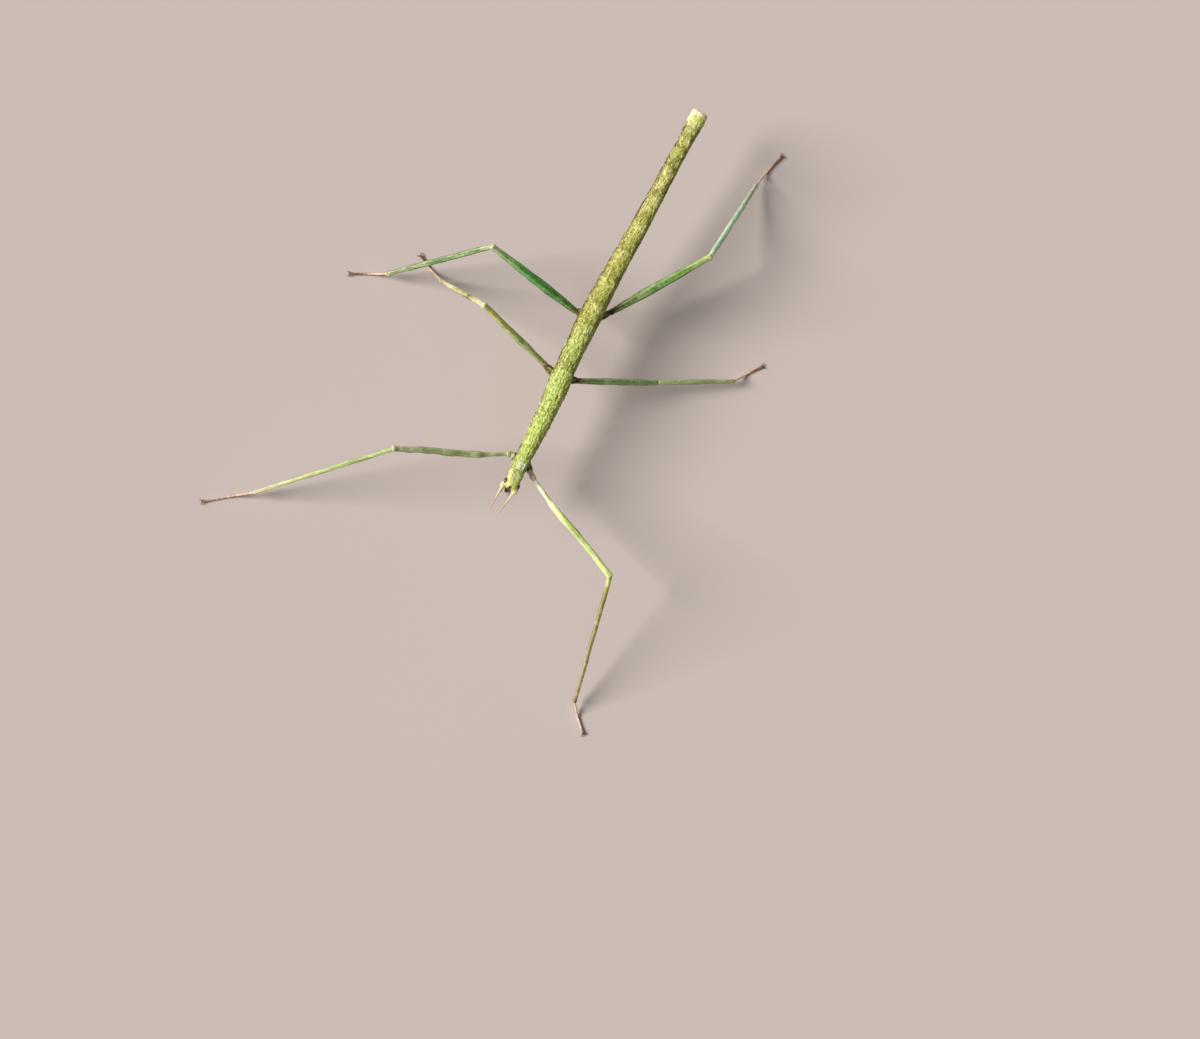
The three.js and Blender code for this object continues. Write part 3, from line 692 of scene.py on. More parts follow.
# Display colours along each leg: the six legs are each a different green, and some are brightened as painted
# light.
LEG_COLOURS = {
    ("fore", "left", "femur"): (
        (0, 244, 226, 204), (0.1, 236, 234, 206), (0.24, 250, 246, 202), (0.36, 236, 242, 178),
        (0.5, 204, 226, 142), (1, 206, 226, 140),
    ),
    ("fore", "left", "tibia"): (
        (0, 180, 198, 108), (0.14, 146, 146, 84), (0.6, 148, 134, 98), (0.94, 164, 138, 108),
        (1, 112, 90, 66),
    ),
    ("fore", "right", "femur"): ((0, 190, 196, 148), (0.5, 164, 180, 126), (1, 186, 198, 156)),
    ("fore", "right", "tibia"): (
        (0, 178, 188, 138), (0.3, 152, 172, 108), (0.7, 200, 206, 146), (1, 206, 200, 158),
    ),
    # Brightened as painted light against the shade this femur lies in.
    ("mid", "left", "femur"): (
        (0, 136, 140, 92), (0.2, 132, 170, 100), (0.6, 148, 188, 122), (1, 172, 196, 138),
    ),
    ("mid", "left", "tibia"): (
        (0, 206, 220, 168), (0.25, 166, 190, 132), (0.5, 142, 172, 112), (0.8, 156, 172, 120),
        (1, 184, 164, 120),
    ),
    ("mid", "right", "femur"): (
        (0, 186, 168, 124), (0.15, 188, 200, 122), (0.45, 168, 196, 112), (0.7, 206, 200, 116),
        (0.92, 226, 220, 126), (1, 236, 232, 190),
    ),
    ("mid", "right", "tibia"): (
        (0, 226, 222, 194), (0.2, 198, 192, 146), (0.32, 104, 106, 60), (0.44, 186, 180, 138),
        (0.8, 196, 188, 152), (1, 196, 176, 148),
    ),
    ("hind", "left", "femur"): (
        (0, 70, 74, 36), (0.15, 88, 120, 56), (0.5, 100, 152, 74), (0.85, 150, 190, 104),
        (1, 214, 220, 150),
    ),
    # Partly its own pale green, partly painted light: near-white as if lit from above.
    ("hind", "left", "tibia"): (
        (0, 232, 246, 214), (0.12, 200, 240, 212), (0.6, 204, 240, 220), (1, 216, 222, 192),
    ),
    ("hind", "right", "femur"): (
        (0, 88, 100, 48), (0.15, 54, 138, 50), (0.6, 58, 158, 70), (0.85, 114, 182, 100),
        (1, 208, 216, 172),
    ),
    ("hind", "right", "tibia"): (
        (0, 196, 208, 166), (0.12, 98, 138, 84), (0.6, 92, 134, 82), (1, 144, 154, 114),
    ),
}
LEG_VIVID = 1.1
# How strongly pale patches break up each leg's green: its femur, its tibia.
LEG_PATCHES = {"fore": (0.55, 0.3), "mid": (0.28, 0.28), "hind": (0.18, 0.18)}
# How much painted shade darkens each pair's facets between its keels, and how dark its mottling is.
LEG_SHADE = {"fore": 0.1, "mid": 0.2, "hind": 0.28}
LEG_MOTTLE = {"fore": 0.25, "mid": 0.45, "hind": 0.5}
# How strongly each pair's green swells and fades along the leg.
LEG_BANDS = {"fore": 0.3, "mid": 0.24, "hind": 0.22}
# How often the green swells, and how often pale patches come, to the millimetre.
LEG_BAND_PACE = {"fore": 1.1, "mid": 0.9, "hind": 0.9}
LEG_PATCH_PACE = {"fore": 2.2, "mid": 1.3, "hind": 1.3}
# How uneven each pair's femora and tibiae are, in millimetres.
LEG_LUMPS = {"fore": (0.055, 0.025), "mid": (0.03, 0.02), "hind": (0.02, 0.02)}
LEG_PALE = (244, 246, 204)
HIP_BROWN = (100, 84, 44)
HIP_PALE = (206, 198, 140)
FOOT_PALE = (242, 212, 196)
FOOT_DARK = (156, 110, 98)
KEEL_ANGLES = (0.62, -0.62, 2.35, -2.35)


def keel_height(angle):
    """1 on the four long keels of a leg and 0 between them."""
    return sum(bell((angle - keel + math.pi) % FULL_TURN - math.pi, 0, 0.26) for keel in KEEL_ANGLES)


def segment_tint(pair, side, segment, places, share, angle, seed):
    """The segment's green, banded along it, with painted shade between its keels and pale patches."""
    keel = np.clip(keel_height(angle), 0, 1)
    bands = ring_noise(places * LEG_BAND_PACE[pair], angle, 0.5, seed + 7)
    tint = colour_run(LEG_COLOURS[pair, side, segment], share) * (1 + LEG_BANDS[pair] * bands)[..., None]
    # Painted shade on the facets between the keels.
    tint = tint * (1 - LEG_SHADE[pair] * (1 - keel) * (0.7 + 0.3 * bands))[..., None]
    grey = tint.mean(axis=-1, keepdims=True)
    tint = np.clip(grey + (tint - grey) * LEG_VIVID, 0.002, 1)
    tint = blend(tint, linear(LEG_PALE), 0.36 * keel * (0.6 + 0.4 * bands))
    patches = smooth_step(0.1, 0.5, ring_noise(places * LEG_PATCH_PACE[pair], angle, 0.8, seed + 11))
    return blend(tint, linear(LEG_PALE), patches * LEG_PATCHES[pair][segment == "tibia"])


def segment_shell(pair, side, segment, start_in, end_out):
    """A femur or tibia, reaching into its neighbours by start_in and end_out millimetres."""
    line = LEGS[pair, side][segment]
    is_tibia = segment == "tibia"
    first, last = unit(line[1] - line[0]), unit(line[-1] - line[-2])
    corners = np.vstack([line[0] - first * start_in, line, line[-1] + last * end_out])
    path, _, length = even_path(corners, LEG_STEP, 14)
    places = np.linspace(0, length, len(path))[:, None]
    share = np.clip((places - start_in) / (length - start_in - end_out), 0, 1)
    _, angle = ring_angles(LEG_ROUND)
    swell = 1 + (0.08 if is_tibia else 0.12) * bell(length - places, 0.26, 0.2)
    swell = swell + 0.08 * bell(places, start_in + 0.35, 0.2)
    half = value_run(THICKNESS[pair, segment], share) / 2 * swell * rounded_ends(places, length, 0.2, 0.2)
    keel = keel_height(angle)
    seed = sum(map(ord, pair + side + segment))
    saw = 0.02 * bell(places / 0.42 % 1, 0.5, 0.2) * keel * (np.cos(angle) < 0)
    rough = LEG_LUMPS[pair][is_tibia] * ring_noise(places * 1.2, angle, 1.0, seed)
    bumps = pebbles(places / 0.17, angle, 11, 0.5, seed + 3)
    radius = half * (0.94 + 0.1 * keel) + (saw + rough + 0.012 * bumps) * (half > 0.12)
    tint = segment_tint(pair, side, segment, places, share, angle, seed)
    return shell(f"{pair}_{side}_{segment}", tube_points(path, radius), tint, bumps * 0.6, LEG_MOTTLE[pair])


# Half thickness of the hip in millimetres at shares of its length.
COXA_HALF = ((0, 0.4), (0.45, 0.36), (0.62, 0.27), (0.7, 0.24), (0.8, 0.28), (1, 0.23))
# From where along the hip, and how strongly, it takes on the femur's colour, and its mottling.
HIP_TURN = {"fore": (0.4, 0.97, 0.35), "mid": (0.66, 0.85, 0.8), "hind": (0.66, 0.85, 0.8)}


def coxa_shell(pair, side):
    """The hip: a short stout cone out of the body, with the small trochanter at its end."""
    leg = LEGS[pair, side]
    outward = unit(leg["hip"] - leg["root"])
    reach = unit(leg["femur"][1] - leg["hip"])
    corners = np.array([leg["root"] - outward * 0.1, leg["hip"] - outward * 0.05, leg["hip"] + reach * 0.42])
    path, share, length = even_path(corners, 0.03, 5)
    _, angle = ring_angles(LEG_ROUND)
    half = value_run(COXA_HALF, share) * rounded_ends(share * length, length, 0.12, 0.12)
    lumps = pebbles(share * length / 0.14, angle, 14, 0.5, sum(map(ord, pair + side)))
    ridge = bell(angle, 0, 0.2) * (share < 0.6)
    points = tube_points(path, half + (0.03 * lumps + 0.035 * ridge) * (half > 0.1))
    femur_colour = LEG_COLOURS[pair, side, "femur"][0][1:]
    turns_from, turned, mottle = HIP_TURN[pair]
    layers = (
        (HIP_PALE, np.clip(ridge * 0.8 + 0.12 * lumps, 0, 1)),
        (BROWN_AND_SIDE_SHADE, bell(share, 0.62, 0.06) * 0.7),
        (femur_colour, smooth_step(turns_from, turns_from + 0.14, share) * turned),
    )
    return shell(f"{pair}_{side}_coxa", points, painted(HIP_BROWN, layers), lumps, mottle)


# Ends and joints of the foot's five segments, as shares of its length.
FOOT_JOINTS = (0.0, 0.4, 0.56, 0.68, 0.77, 1.0)
# The feet's own skin stays this far above the floor, and ends this far before its solid does, to
# leave room for the claws, in millimetres.
FLOOR_GAP = 0.004
CLAW_ROOM = 0.42


def foot_path(pair, side):
    """From the ankle down to the floor and along it: the underside touches the floor."""
    leg = LEGS[pair, side]
    ankle, reach = leg["ankle"], (leg["toe"] - leg["ankle"]) * (1, 1, 0)
    length = np.linalg.norm(reach) - CLAW_ROOM
    ahead = unit(reach)
    shares = np.array([-0.06, 0, 0.2, 0.4, 0.52, 0.7, 0.85, 1.0])
    heights = np.array([1.06, 1.0, 0.6, 0.22, 0.12, 0.115, 0.12, 0.13])
    heights = np.where(heights > 0.3, heights * ankle[2], heights)
    corners = ankle * (1, 1, 0) + ahead * (shares * length)[:, None] + UP * heights[:, None]
    return *even_path(corners, TARSUS_STEP, 10), ahead


def tarsus_shell(pair, side):
    """Five short foot segments, each with a pad below its far end."""
    path, share, length, _ = foot_path(pair, side)
    half = pad = np.zeros(share.shape)
    for start, end in zip(FOOT_JOINTS, FOOT_JOINTS[1:]):
        inside = (share >= start) & (share <= end)
        through = np.clip((share - start) / (end - start), 0, 1)
        half = np.where(inside, 0.085 + 0.03 * through**2, half)
        pad = np.where(inside, smooth_step(0.35, 0.9, through), pad)
    joints = sum(bell(share, joint, 0.012) for joint in FOOT_JOINTS[1:-1])
    half = half * (1 - 0.32 * joints) + 0.06 * (1 - smooth_step(0, 0.16, share))
    half = half * rounded_ends(share * length, length, 0.1, 0.12)
    under = np.clip(-np.cos(ring_angles(TARSUS_ROUND)[0]), 0, 1)
    points = tube_points(path, half * (1 + 0.25 * under * pad))
    points[..., 2] = np.maximum(points[..., 2], FLOOR_GAP)
    dark_from = 0.72 if pair == "fore" else 0.45
    darkness = np.clip(smooth_step(dark_from, dark_from + 0.4, share) + 0.3 * joints, 0, 1)
    return shell(f"{pair}_{side}_tarsus", points, painted(FOOT_PALE, [(FOOT_DARK, darkness)]), 0.0, 0.4)


def cercus_shell(side):
    """A short soft cone at the tail, inside its solid."""
    low, high = box_of(f"cercus_{side}")
    x, _, z = (low + high) / 2
    path, share, length = even_path(np.array([[x, low[1] - 0.25, z + 0.02], [x, high[1] - 0.03, z]]), 0.02, 0)
    half = 0.13 * (1 - 0.45 * share**2) * rounded_ends(share * length, length, 0.05, 0.16)
    bumps = pebbles(share * length / 0.09, ring_angles(CERCUS_ROUND)[0], 8, 0.5, 71)
    tint = linear(TAIL_CREAM) * 0.85
    return shell(f"cercus_{side}", tube_points(path, half + 0.008 * bumps), tint, bumps, 0.5)


# ---------------------------------------------------------------- from shells to one skin

# The longest strip of the skin's unwrap, the gap between strips, and how far the tips of a
# shell's ends reach past its first and last ring there, all in millimetres.
STRIP_LONGEST = 12.0
STRIP_MARGIN = 0.12
TIP_REACH = 0.05
# How much longer the square's side is than its strips' area needs.
STRIP_ROOM = 1.12
# Millimetres between the shells where the skin's noise is read, so that no two look alike.
LIE_APART = 50
# Bends sharper than this are shown as edges.
SHARP_BEND = math.radians(70)


def strips_of(number, item):
    """The strips that a shell is cut across into: girth, shell number, first and last ring."""
    along = item["along"]
    parts = math.ceil(along[-1] / STRIP_LONGEST)
    rings = [int(np.searchsorted(along, along[-1] * part / parts)) for part in range(parts)]
    return [(item["girth"], number, first, last) for first, last in zip(rings, rings[1:] + [len(along) - 1])]


def unwrap(shells):
    """Gives each shell its place on the skin's unwrap: strips packed on shelves in a square."""
    strips = [strip for number, item in enumerate(shells) for strip in strips_of(number, item)]
    strips.sort(key=lambda strip: (-strip[0], strip[1], strip[2]))
    lengths = [np.ptp(shells[number]["along"][[first, last]]) for _, number, first, last in strips]
    area = sum(strip[0] * length for strip, length in zip(strips, lengths))
    across = max(math.sqrt(area) * STRIP_ROOM, STRIP_LONGEST + 2 * STRIP_MARGIN)
    left, bottom, shelf = STRIP_MARGIN, STRIP_MARGIN, 0.0
    for item in shells:
        item["places"] = []
    for (girth, number, first, _), length in zip(strips, lengths):
        if left + length + STRIP_MARGIN > across:
            left, bottom, shelf = STRIP_MARGIN, bottom + shelf + STRIP_MARGIN, 0.0
        shells[number]["places"].append((first, left, bottom))
        left += length + STRIP_MARGIN
        shelf = max(shelf, girth)
    for item in shells:
        item["scale"] = 1 / max(across, bottom + shelf + STRIP_MARGIN)
        item["places"].sort()


def on_unwrap(item, ring, along, share_round):
    """Places on the unwrap: along the strip that holds a ring, at a share of the way round."""
    ring, along, share_round = np.broadcast_arrays(ring, along, share_round)
    spot = np.zeros(ring.shape + (2,))
    for first, left, bottom in item["places"]:
        held = ring >= first
        spot[held, 0] = left + along[held] - item["along"][first]
        spot[held, 1] = bottom + share_round[held] * item["girth"]
    return spot * item["scale"]


def shell_faces(rings, around):
    """Corner numbers of the quads between rings, then of the fans at both ends, facing outward."""
    ring, column = np.meshgrid(np.arange(rings - 1), np.arange(around), indexing="ij")
    here, beside = ring * around + column, ring * around + (column + 1) % around
    quads = np.stack([here, beside, beside + around, here + around], axis=-1).reshape(-1, 4)
    columns = np.arange(around)
    nexts = (columns + 1) % around
    first_pole, last_pole = rings * around, rings * around + 1
    start = np.stack([np.full(around, first_pole), nexts, columns], axis=-1)
    base = (rings - 1) * around
    end = np.stack([np.full(around, last_pole), base + columns, base + nexts], axis=-1)
    return quads, start, end


def corner_spots(item, rings, around):
    """The unwrap for the corners of the faces, in the order of shell_faces."""
    ring, column = np.arange(rings - 1)[:, None, None], np.arange(around)[:, None]
    ring_step, column_step = np.array([[0, 0], [0, 1], [1, 1], [1, 0]]).T
    quads = on_unwrap(item, ring, item["along"][ring + ring_step], (column + column_step) / around)
    tip = np.array([TIP_REACH, 0, 0])
    start = on_unwrap(item, 0, -tip, (column + (0.5, 1, 0)) / around)
    end = on_unwrap(item, rings - 1, item["along"][-1] + tip, (column + (0.5, 0, 1)) / around)
    return np.concatenate([part.reshape(-1, 2) for part in (quads, start, end)])


def with_poles(values):
    """A shell's values in the order of its corners, with the two poles last."""
    flat = values.reshape(-1, *values.shape[2:])
    return np.concatenate([flat, values[:1].mean(axis=1), values[-1:].mean(axis=1)])


def mesh_from_arrays(name, points, faces, spots):
    """A mesh from corner arrays: faces is a list of arrays, each of faces with one corner count."""
    mesh = bpy.data.meshes.new(name)
    counts = np.concatenate([np.full(len(part), part.shape[1]) for part in faces])
    corners = np.concatenate([part.reshape(-1) for part in faces])
    mesh.vertices.add(len(points))
    mesh.loops.add(len(corners))
    mesh.polygons.add(len(counts))
    mesh.vertices.foreach_set("co", points.astype(np.float32).reshape(-1))
    mesh.loops.foreach_set("vertex_index", corners.astype(np.int32))
    mesh.polygons.foreach_set("loop_start", (np.cumsum(counts) - counts).astype(np.int32))
    mesh.polygons.foreach_set("use_smooth", np.ones(len(counts), bool))
    mesh.update(calc_edges=True)
    if spots is not None:
        mesh.uv_layers.new(name="OFBake").data.foreach_set("uv", spots.astype(np.float32).reshape(-1))
    return mesh


def set_layer(mesh, name, values):
    """Stores a number or a vector at each corner point of a mesh."""
    kind, field = ("FLOAT", "value") if values.ndim == 1 else ("FLOAT_VECTOR", "vector")
    mesh.attributes.new(name, kind, "POINT").data.foreach_set(field, values.astype(np.float32).reshape(-1))


def add_object(name, data):
    """A new object in the scene."""
    item = bpy.data.objects.new(name, data)
    bpy.context.scene.collection.objects.link(item)
    return item


def shell_object(item, number):
    """The shell as a mesh object, carrying what the skin's material reads."""
    rings, around = item["points"].shape[:2]
    points = with_poles(item["points"])
    spots = corner_spots(item, rings, around)
    mesh = mesh_from_arrays(item["name"], points, shell_faces(rings, around), spots)
    set_layer(mesh, "lie", with_poles(item["lie"] + (number * LIE_APART, 0, 0)))
    for name in ("tint", "grain", "mottle"):
        set_layer(mesh, name, with_poles(item[name]))
    set_layer(mesh, "known", np.ones(len(points)))
    return add_object(item["name"], mesh)


def united(first, second):
    """Joins the second object to the first as one closed surface, and removes it."""
    join = first.modifiers.new("join", "BOOLEAN")
    join.operation, join.solver, join.object = "UNION", "MANIFOLD", second
    joined = first.evaluated_get(bpy.context.evaluated_depsgraph_get())
    mesh = bpy.data.meshes.new_from_object(joined)
    first.modifiers.clear()
    spent = first.data, second.data
    first.data = mesh
    bpy.data.objects.remove(second)
    for old in spent:
        bpy.data.meshes.remove(old)


def mend_joins(mesh):
    """Gives the corners that the joins made the values of their nearest old corner."""
    points = corner_values(mesh, "position", "vector", 3)
    known = corner_values(mesh, "known", "value", 1)[:, 0] > 0.5
    made = np.flatnonzero(~known)
    tree = KDTree(int(known.sum()))
    for number in np.flatnonzero(known):
        tree.insert(points[number], int(number))
    tree.balance()
    source = np.array([tree.find(points[number])[1] for number in made], int)
    layers = (("lie", "vector", 3), ("tint", "vector", 3), ("grain", "value", 1), ("mottle", "value", 1))
    for name, field, width in layers:
        values = corner_values(mesh, name, field, width)
        values[made] = values[source]
        mesh.attributes[name].data.foreach_set(field, values.reshape(-1))
    mesh.attributes.remove(mesh.attributes["known"])


def without_folds(mesh):
    """Removes the paper-thin folds and slivers that the joins leave."""
    work = bmesh.new()
    work.from_mesh(mesh)
    bmesh.ops.triangulate(work, faces=[face for face in work.faces if len(face.verts) > 4])
    bmesh.ops.dissolve_degenerate(work, dist=SLIVER, edges=work.edges)
    bmesh.ops.triangulate(work, faces=[face for face in work.faces if len(face.verts) > 4])
    back_to_back = {}
    for face in work.faces:
        back_to_back.setdefault(frozenset(corner.index for corner in face.verts), []).append(face)
    folds = [face for pair in back_to_back.values() if len(pair) > 1 for face in pair]
    bmesh.ops.delete(work, geom=folds, context="FACES")
    work.to_mesh(mesh)
    work.free()


def build_shells():
    shells = [trunk_shell(), head_shell()] + [cercus_shell(side) for side in SIDES]
    for pair, side in LEGS:
        shells.append(coxa_shell(pair, side))
        shells.append(segment_shell(pair, side, "femur", 0.12, 0.2))
        shells.append(segment_shell(pair, side, "tibia", 0.1, 0.1))
        shells.append(tarsus_shell(pair, side))
    return shells


def build_skin(shells):
    """All shells as one closed mesh."""
    objects = {item["name"]: shell_object(item, number) for number, item in enumerate(shells)}
    skin_object = objects["trunk"]
    for name in ("head", "cercus_left", "cercus_right"):
        united(skin_object, objects[name])
    for pair, side in LEGS:
        leg = objects[f"{pair}_{side}_femur"]
        for segment in ("coxa", "tibia", "tarsus"):
            united(leg, objects[f"{pair}_{side}_{segment}"])
        united(skin_object, leg)
    mesh = skin_object.data
    mend_joins(mesh)
    without_folds(mesh)
    skin_object.name = mesh.name = "skin"
    mesh.polygons.foreach_set("use_smooth", np.ones(len(mesh.polygons), bool))
    mesh.set_sharp_from_angle(angle=SHARP_BEND)
    mesh.transform(Matrix.Scale(TO_METRES, 4))
    mesh.materials.clear()
    mesh.materials.append(skin_material())
    return skin_object


# ---------------------------------------------------------------- materials


def new_material(name):
    material = bpy.data.materials.new(name)
    material.use_nodes = True
    return material, material.node_tree, material.node_tree.nodes["Principled BSDF"]


def fill(tree, node, inputs):
    """Sets a node's sockets: to a number or colour, or linked to another node's output."""
    for name, value in inputs.items():
        if isinstance(value, bpy.types.NodeSocket):
            tree.links.new(value, node.inputs[name])
        else:
            node.inputs[name].default_value = value


def made(tree, kind, output, inputs, **settings):
    """The output of a new shader node, with its sockets filled and its settings made."""
    node = tree.nodes.new("ShaderNode" + kind)
    for name, value in settings.items():
        setattr(node, name, value)
    fill(tree, node, inputs)
    return node.outputs[output]


def read_layer(tree, name, output):
    return made(tree, "Attribute", output, {}, attribute_name=name)


def stretched(tree, vector, scale):
    return made(tree, "Mapping", "Vector", {"Vector": vector, "Scale": scale})


def noise(tree, vector, scale, detail, roughness):
    inputs = {"Vector": vector, "Scale": scale, "Detail": detail, "Roughness": roughness}
    return made(tree, "TexNoise", "Fac", inputs)


def ranged(tree, value, low, high, to_low, to_high):
    inputs = {"Value": value, "From Min": low, "From Max": high, "To Min": to_low, "To Max": to_high}
    return made(tree, "MapRange", "Result", inputs, interpolation_type="SMOOTHSTEP")


def calculated(tree, operation, first, second):
    return made(tree, "Math", "Value", {0: first, 1: second}, operation=operation)


def mixed(tree, kind, share, ground, shade):
    """A display colour mixed into a ground, which is a display colour too or another node's output."""
    if not isinstance(ground, bpy.types.NodeSocket):
        ground = (*linear(ground), 1)
    inputs = {0: share, 6: ground, 7: (*linear(shade), 1)}
    return made(tree, "Mix", 2, inputs, data_type="RGBA", blend_type=kind)


def bumped(tree, height, distance, strength):
    return made(tree, "Bump", "Normal", {"Height": height, "Distance": distance, "Strength": strength})


def skin_material():
    """Satin cuticle: the ground colour with dark and lime streaks along the body, and granules paled at their
    tops, partly as painted highlight.
    """
    material, tree, shader = new_material("cuticle")
    colour = read_layer(tree, "tint", "Color")
    lie = read_layer(tree, "lie", "Vector")
    grain = read_layer(tree, "grain", "Fac")
    mottle = read_layer(tree, "mottle", "Fac")
    streaks = noise(tree, stretched(tree, lie, (1.0, 2.4, 2.4)), 1.9, 5.0, 0.68)
    flecks = noise(tree, stretched(tree, lie, (1.0, 2.1, 2.1)), 3.3, 3.0, 0.55)
    speck = noise(tree, lie, 13.0, 2.0, 0.5)
    for kind, value, low, high, strength, is_mottling, shade in (
        ("MULTIPLY", streaks, 0.44, 0.68, 0.7, True, (182, 176, 94)),
        ("MULTIPLY", flecks, 0.51, 0.64, 0.9, True, (168, 164, 84)),
        ("SCREEN", flecks, 0.48, 0.38, 1.0, True, (150, 148, 84)),
        # Granule tops paled: paler granules, and painted highlight where light catches them.
        ("SCREEN", grain, 0.2, 0.8, 0.55, False, (112, 108, 48)),
        ("MULTIPLY", speck, 0.6, 0.72, 0.45, False, (150, 140, 110)),
    ):
        share = ranged(tree, value, low, high, 0.0, strength)
        if is_mottling:
            share = calculated(tree, "MULTIPLY", share, mottle)
        colour = mixed(tree, kind, share, colour, shade)
    grit = calculated(tree, "MULTIPLY", noise(tree, lie, 34.0, 2.0, 0.5), 0.4)
    height = calculated(tree, "ADD", speck, grit)
    inputs = {
        "Base Color": colour,
        "Roughness": ranged(tree, flecks, 0.35, 0.7, 0.26, 0.52),
        "Specular IOR Level": 0.32,
        "Subsurface Weight": 0.35,
        "Subsurface Radius": (1.0, 0.9, 0.4),
        "Subsurface Scale": 0.00025,
        "Normal": bumped(tree, height, 0.000018, 0.9),
    }
    fill(tree, shader, inputs)
    return material


def eye_material():
    """Dark glossy eyes: a brown ground with a paler rim band and the fine net of facets."""
    material, tree, shader = new_material("eye")
    place = made(tree, "TexCoord", "Object", {})
    cells = made(tree, "TexVoronoi", "Distance", {"Vector": place, "Scale": 26000.0, "Randomness": 0.3})
    facet = ranged(tree, cells, 0.2, 0.62, 0.0, 1.0)
    bands = noise(tree, stretched(tree, place, (1.0, 0.35, 2.4)), 4200.0, 2.0, 0.5)
    brown = mixed(tree, "MIX", ranged(tree, bands, 0.42, 0.6, 0.0, 1.0), (92, 78, 40), (136, 120, 66))
    inputs = {
        "Base Color": mixed(tree, "MIX", ranged(tree, facet, 0.3, 1.0, 0.0, 0.45), brown, (56, 46, 24)),
        "Roughness": 0.24,
        "Coat Weight": 0.35,
        "Coat Roughness": 0.08,
        "Normal": bumped(tree, calculated(tree, "SUBTRACT", 1.0, facet), 0.000004, 0.35),
    }
    fill(tree, shader, inputs)
    return material


def plain_cuticle(name, pale, deep, scale, roughness):
    """Cuticle of the small pieces: two tones clouded together, with a fine grain."""
    material, tree, shader = new_material(name)
    place = made(tree, "TexCoord", "Object", {})
    clouds = noise(tree, place, scale, 3.0, 0.55)
    shade = read_layer(tree, "shade", "Fac")
    share = calculated(tree, "ADD", ranged(tree, clouds, 0.4, 0.64, -0.18, 0.22), shade)
    inputs = {
        "Base Color": mixed(tree, "MIX", share, pale, deep),
        "Roughness": ranged(tree, clouds, 0.3, 0.7, roughness - 0.08, roughness + 0.1),
        "Normal": bumped(tree, noise(tree, place, scale * 5, 2.0, 0.5), 0.000006, 0.6),
    }
    fill(tree, shader, inputs)
    return material


def floor_material():
    material, tree, shader = new_material("floor")
    clouds = noise(tree, made(tree, "TexCoord", "Object", {}), 14.0, 2.0, 0.5)
    colour = mixed(tree, "MIX", clouds, (214, 200, 195), (219, 205, 200))
    fill(tree, shader, {"Base Color": colour, "Roughness": 0.85})
    return material


# ---------------------------------------------------------------- separate pieces


def shaded_piece(name, points, faces, spots, shades, material):
    """A piece from corner points in millimetres, with how dark its material is at each of them."""
    mesh = mesh_from_arrays(name, points * TO_METRES, faces, spots)
    set_layer(mesh, "shade", shades)
    mesh.materials.append(material)
    return add_object(name, mesh)


def joined_piece(name, parts, material):
    """One object from several closed shells, each given as its rings and how dark they are."""
    quads, fans, base = [], [], 0
    for rings, _ in parts:
        count, around = rings.shape[:2]
        between_rings, start, end = shell_faces(count, around)
        quads.append(between_rings + base)
        fans += [start + base, end + base]
        base += count * around + 2
    points = np.vstack([with_poles(rings) for rings, _ in parts])
    shades = np.concatenate([with_poles(np.broadcast_to(shade, rings.shape[:2])) for rings, shade in parts])
    return shaded_piece(name, points, quads + fans, None, shades, material)


def eye_rings(side):
    """Rings of an egg shape, its poles along X."""
    centre, radii = eye_shape(side)
    lift = np.linspace(0.02, math.pi - 0.02, EYE_RINGS)[:, None]
    angle, _ = ring_angles(EYE_ROUND)
    ways = np.broadcast_arrays(-np.cos(lift), np.sin(lift) * np.cos(angle), np.sin(lift) * np.sin(angle))
    return centre + np.stack(ways, axis=-1) * (radii * 0.97), 0.0


def eyes_piece():
    return joined_piece("eyes", [eye_rings(side) for side in SIDES], eye_material())


# Places of a feeler's joints, and its half thickness in millimetres, at shares of its length.
FEELER_JOINTS = (0.2, 0.29, 0.37, 0.44, 0.51, 0.58, 0.65, 0.72, 0.79, 0.86, 0.93)
FEELER_HALF = (
    (0, 0.15), (0.05, 0.16), (0.12, 0.19), (0.185, 0.185), (0.215, 0.12), (0.3, 0.105), (0.4, 0.08),
    (1, 0.04),
)


def feeler_rings(side):
    """A broad scape, a small pedicel and a thin whip of ten short joints."""
    root, tip = forward_ends(f"antenna_{side}", *FEELER_ENDS)
    corners = np.array([root - unit(tip - root) * 0.12, root + (tip - root) * 0.5, tip])
    path, share, length = even_path(corners, 0.018, 8)
    angle, _ = ring_angles(FEELER_ROUND)
    necks = sum(bell(share, joint, 0.008) for joint in FEELER_JOINTS)
    half = value_run(FEELER_HALF, share) * (1 - 0.14 * necks)
    half = half * rounded_ends(share * length, length, 0.06, 0.08)
    flat = 0.3 * (1 - smooth_step(0.17, 0.22, share))
    radius = half * (1 + flat * np.abs(np.sin(angle)) - 0.1 * np.abs(np.cos(angle)))
    return tube_points(path, radius), 0.05 + 0.75 * smooth_step(0.22, 0.8, share) + 0.2 * necks


def feelers_piece():
    material = plain_cuticle("feeler", (236, 230, 164), (196, 152, 130), 9000.0, 0.4)
    return joined_piece("feelers", [feeler_rings(side) for side in SIDES], material)


def curved_rings(corners, thickness, around, step, smoothing, start_cap, end_cap, flatten):
    """A bent tapering tube: thickness is stops of (share, half thickness), flatten its height share."""
    path, share, length = even_path(np.array(corners), step, smoothing)
    angle, _ = ring_angles(around)
    half = value_run(thickness, share) * rounded_ends(share * length, length, start_cap, end_cap)
    return tube_points(path, half * np.hypot(np.cos(angle) * flatten, np.sin(angle))), share


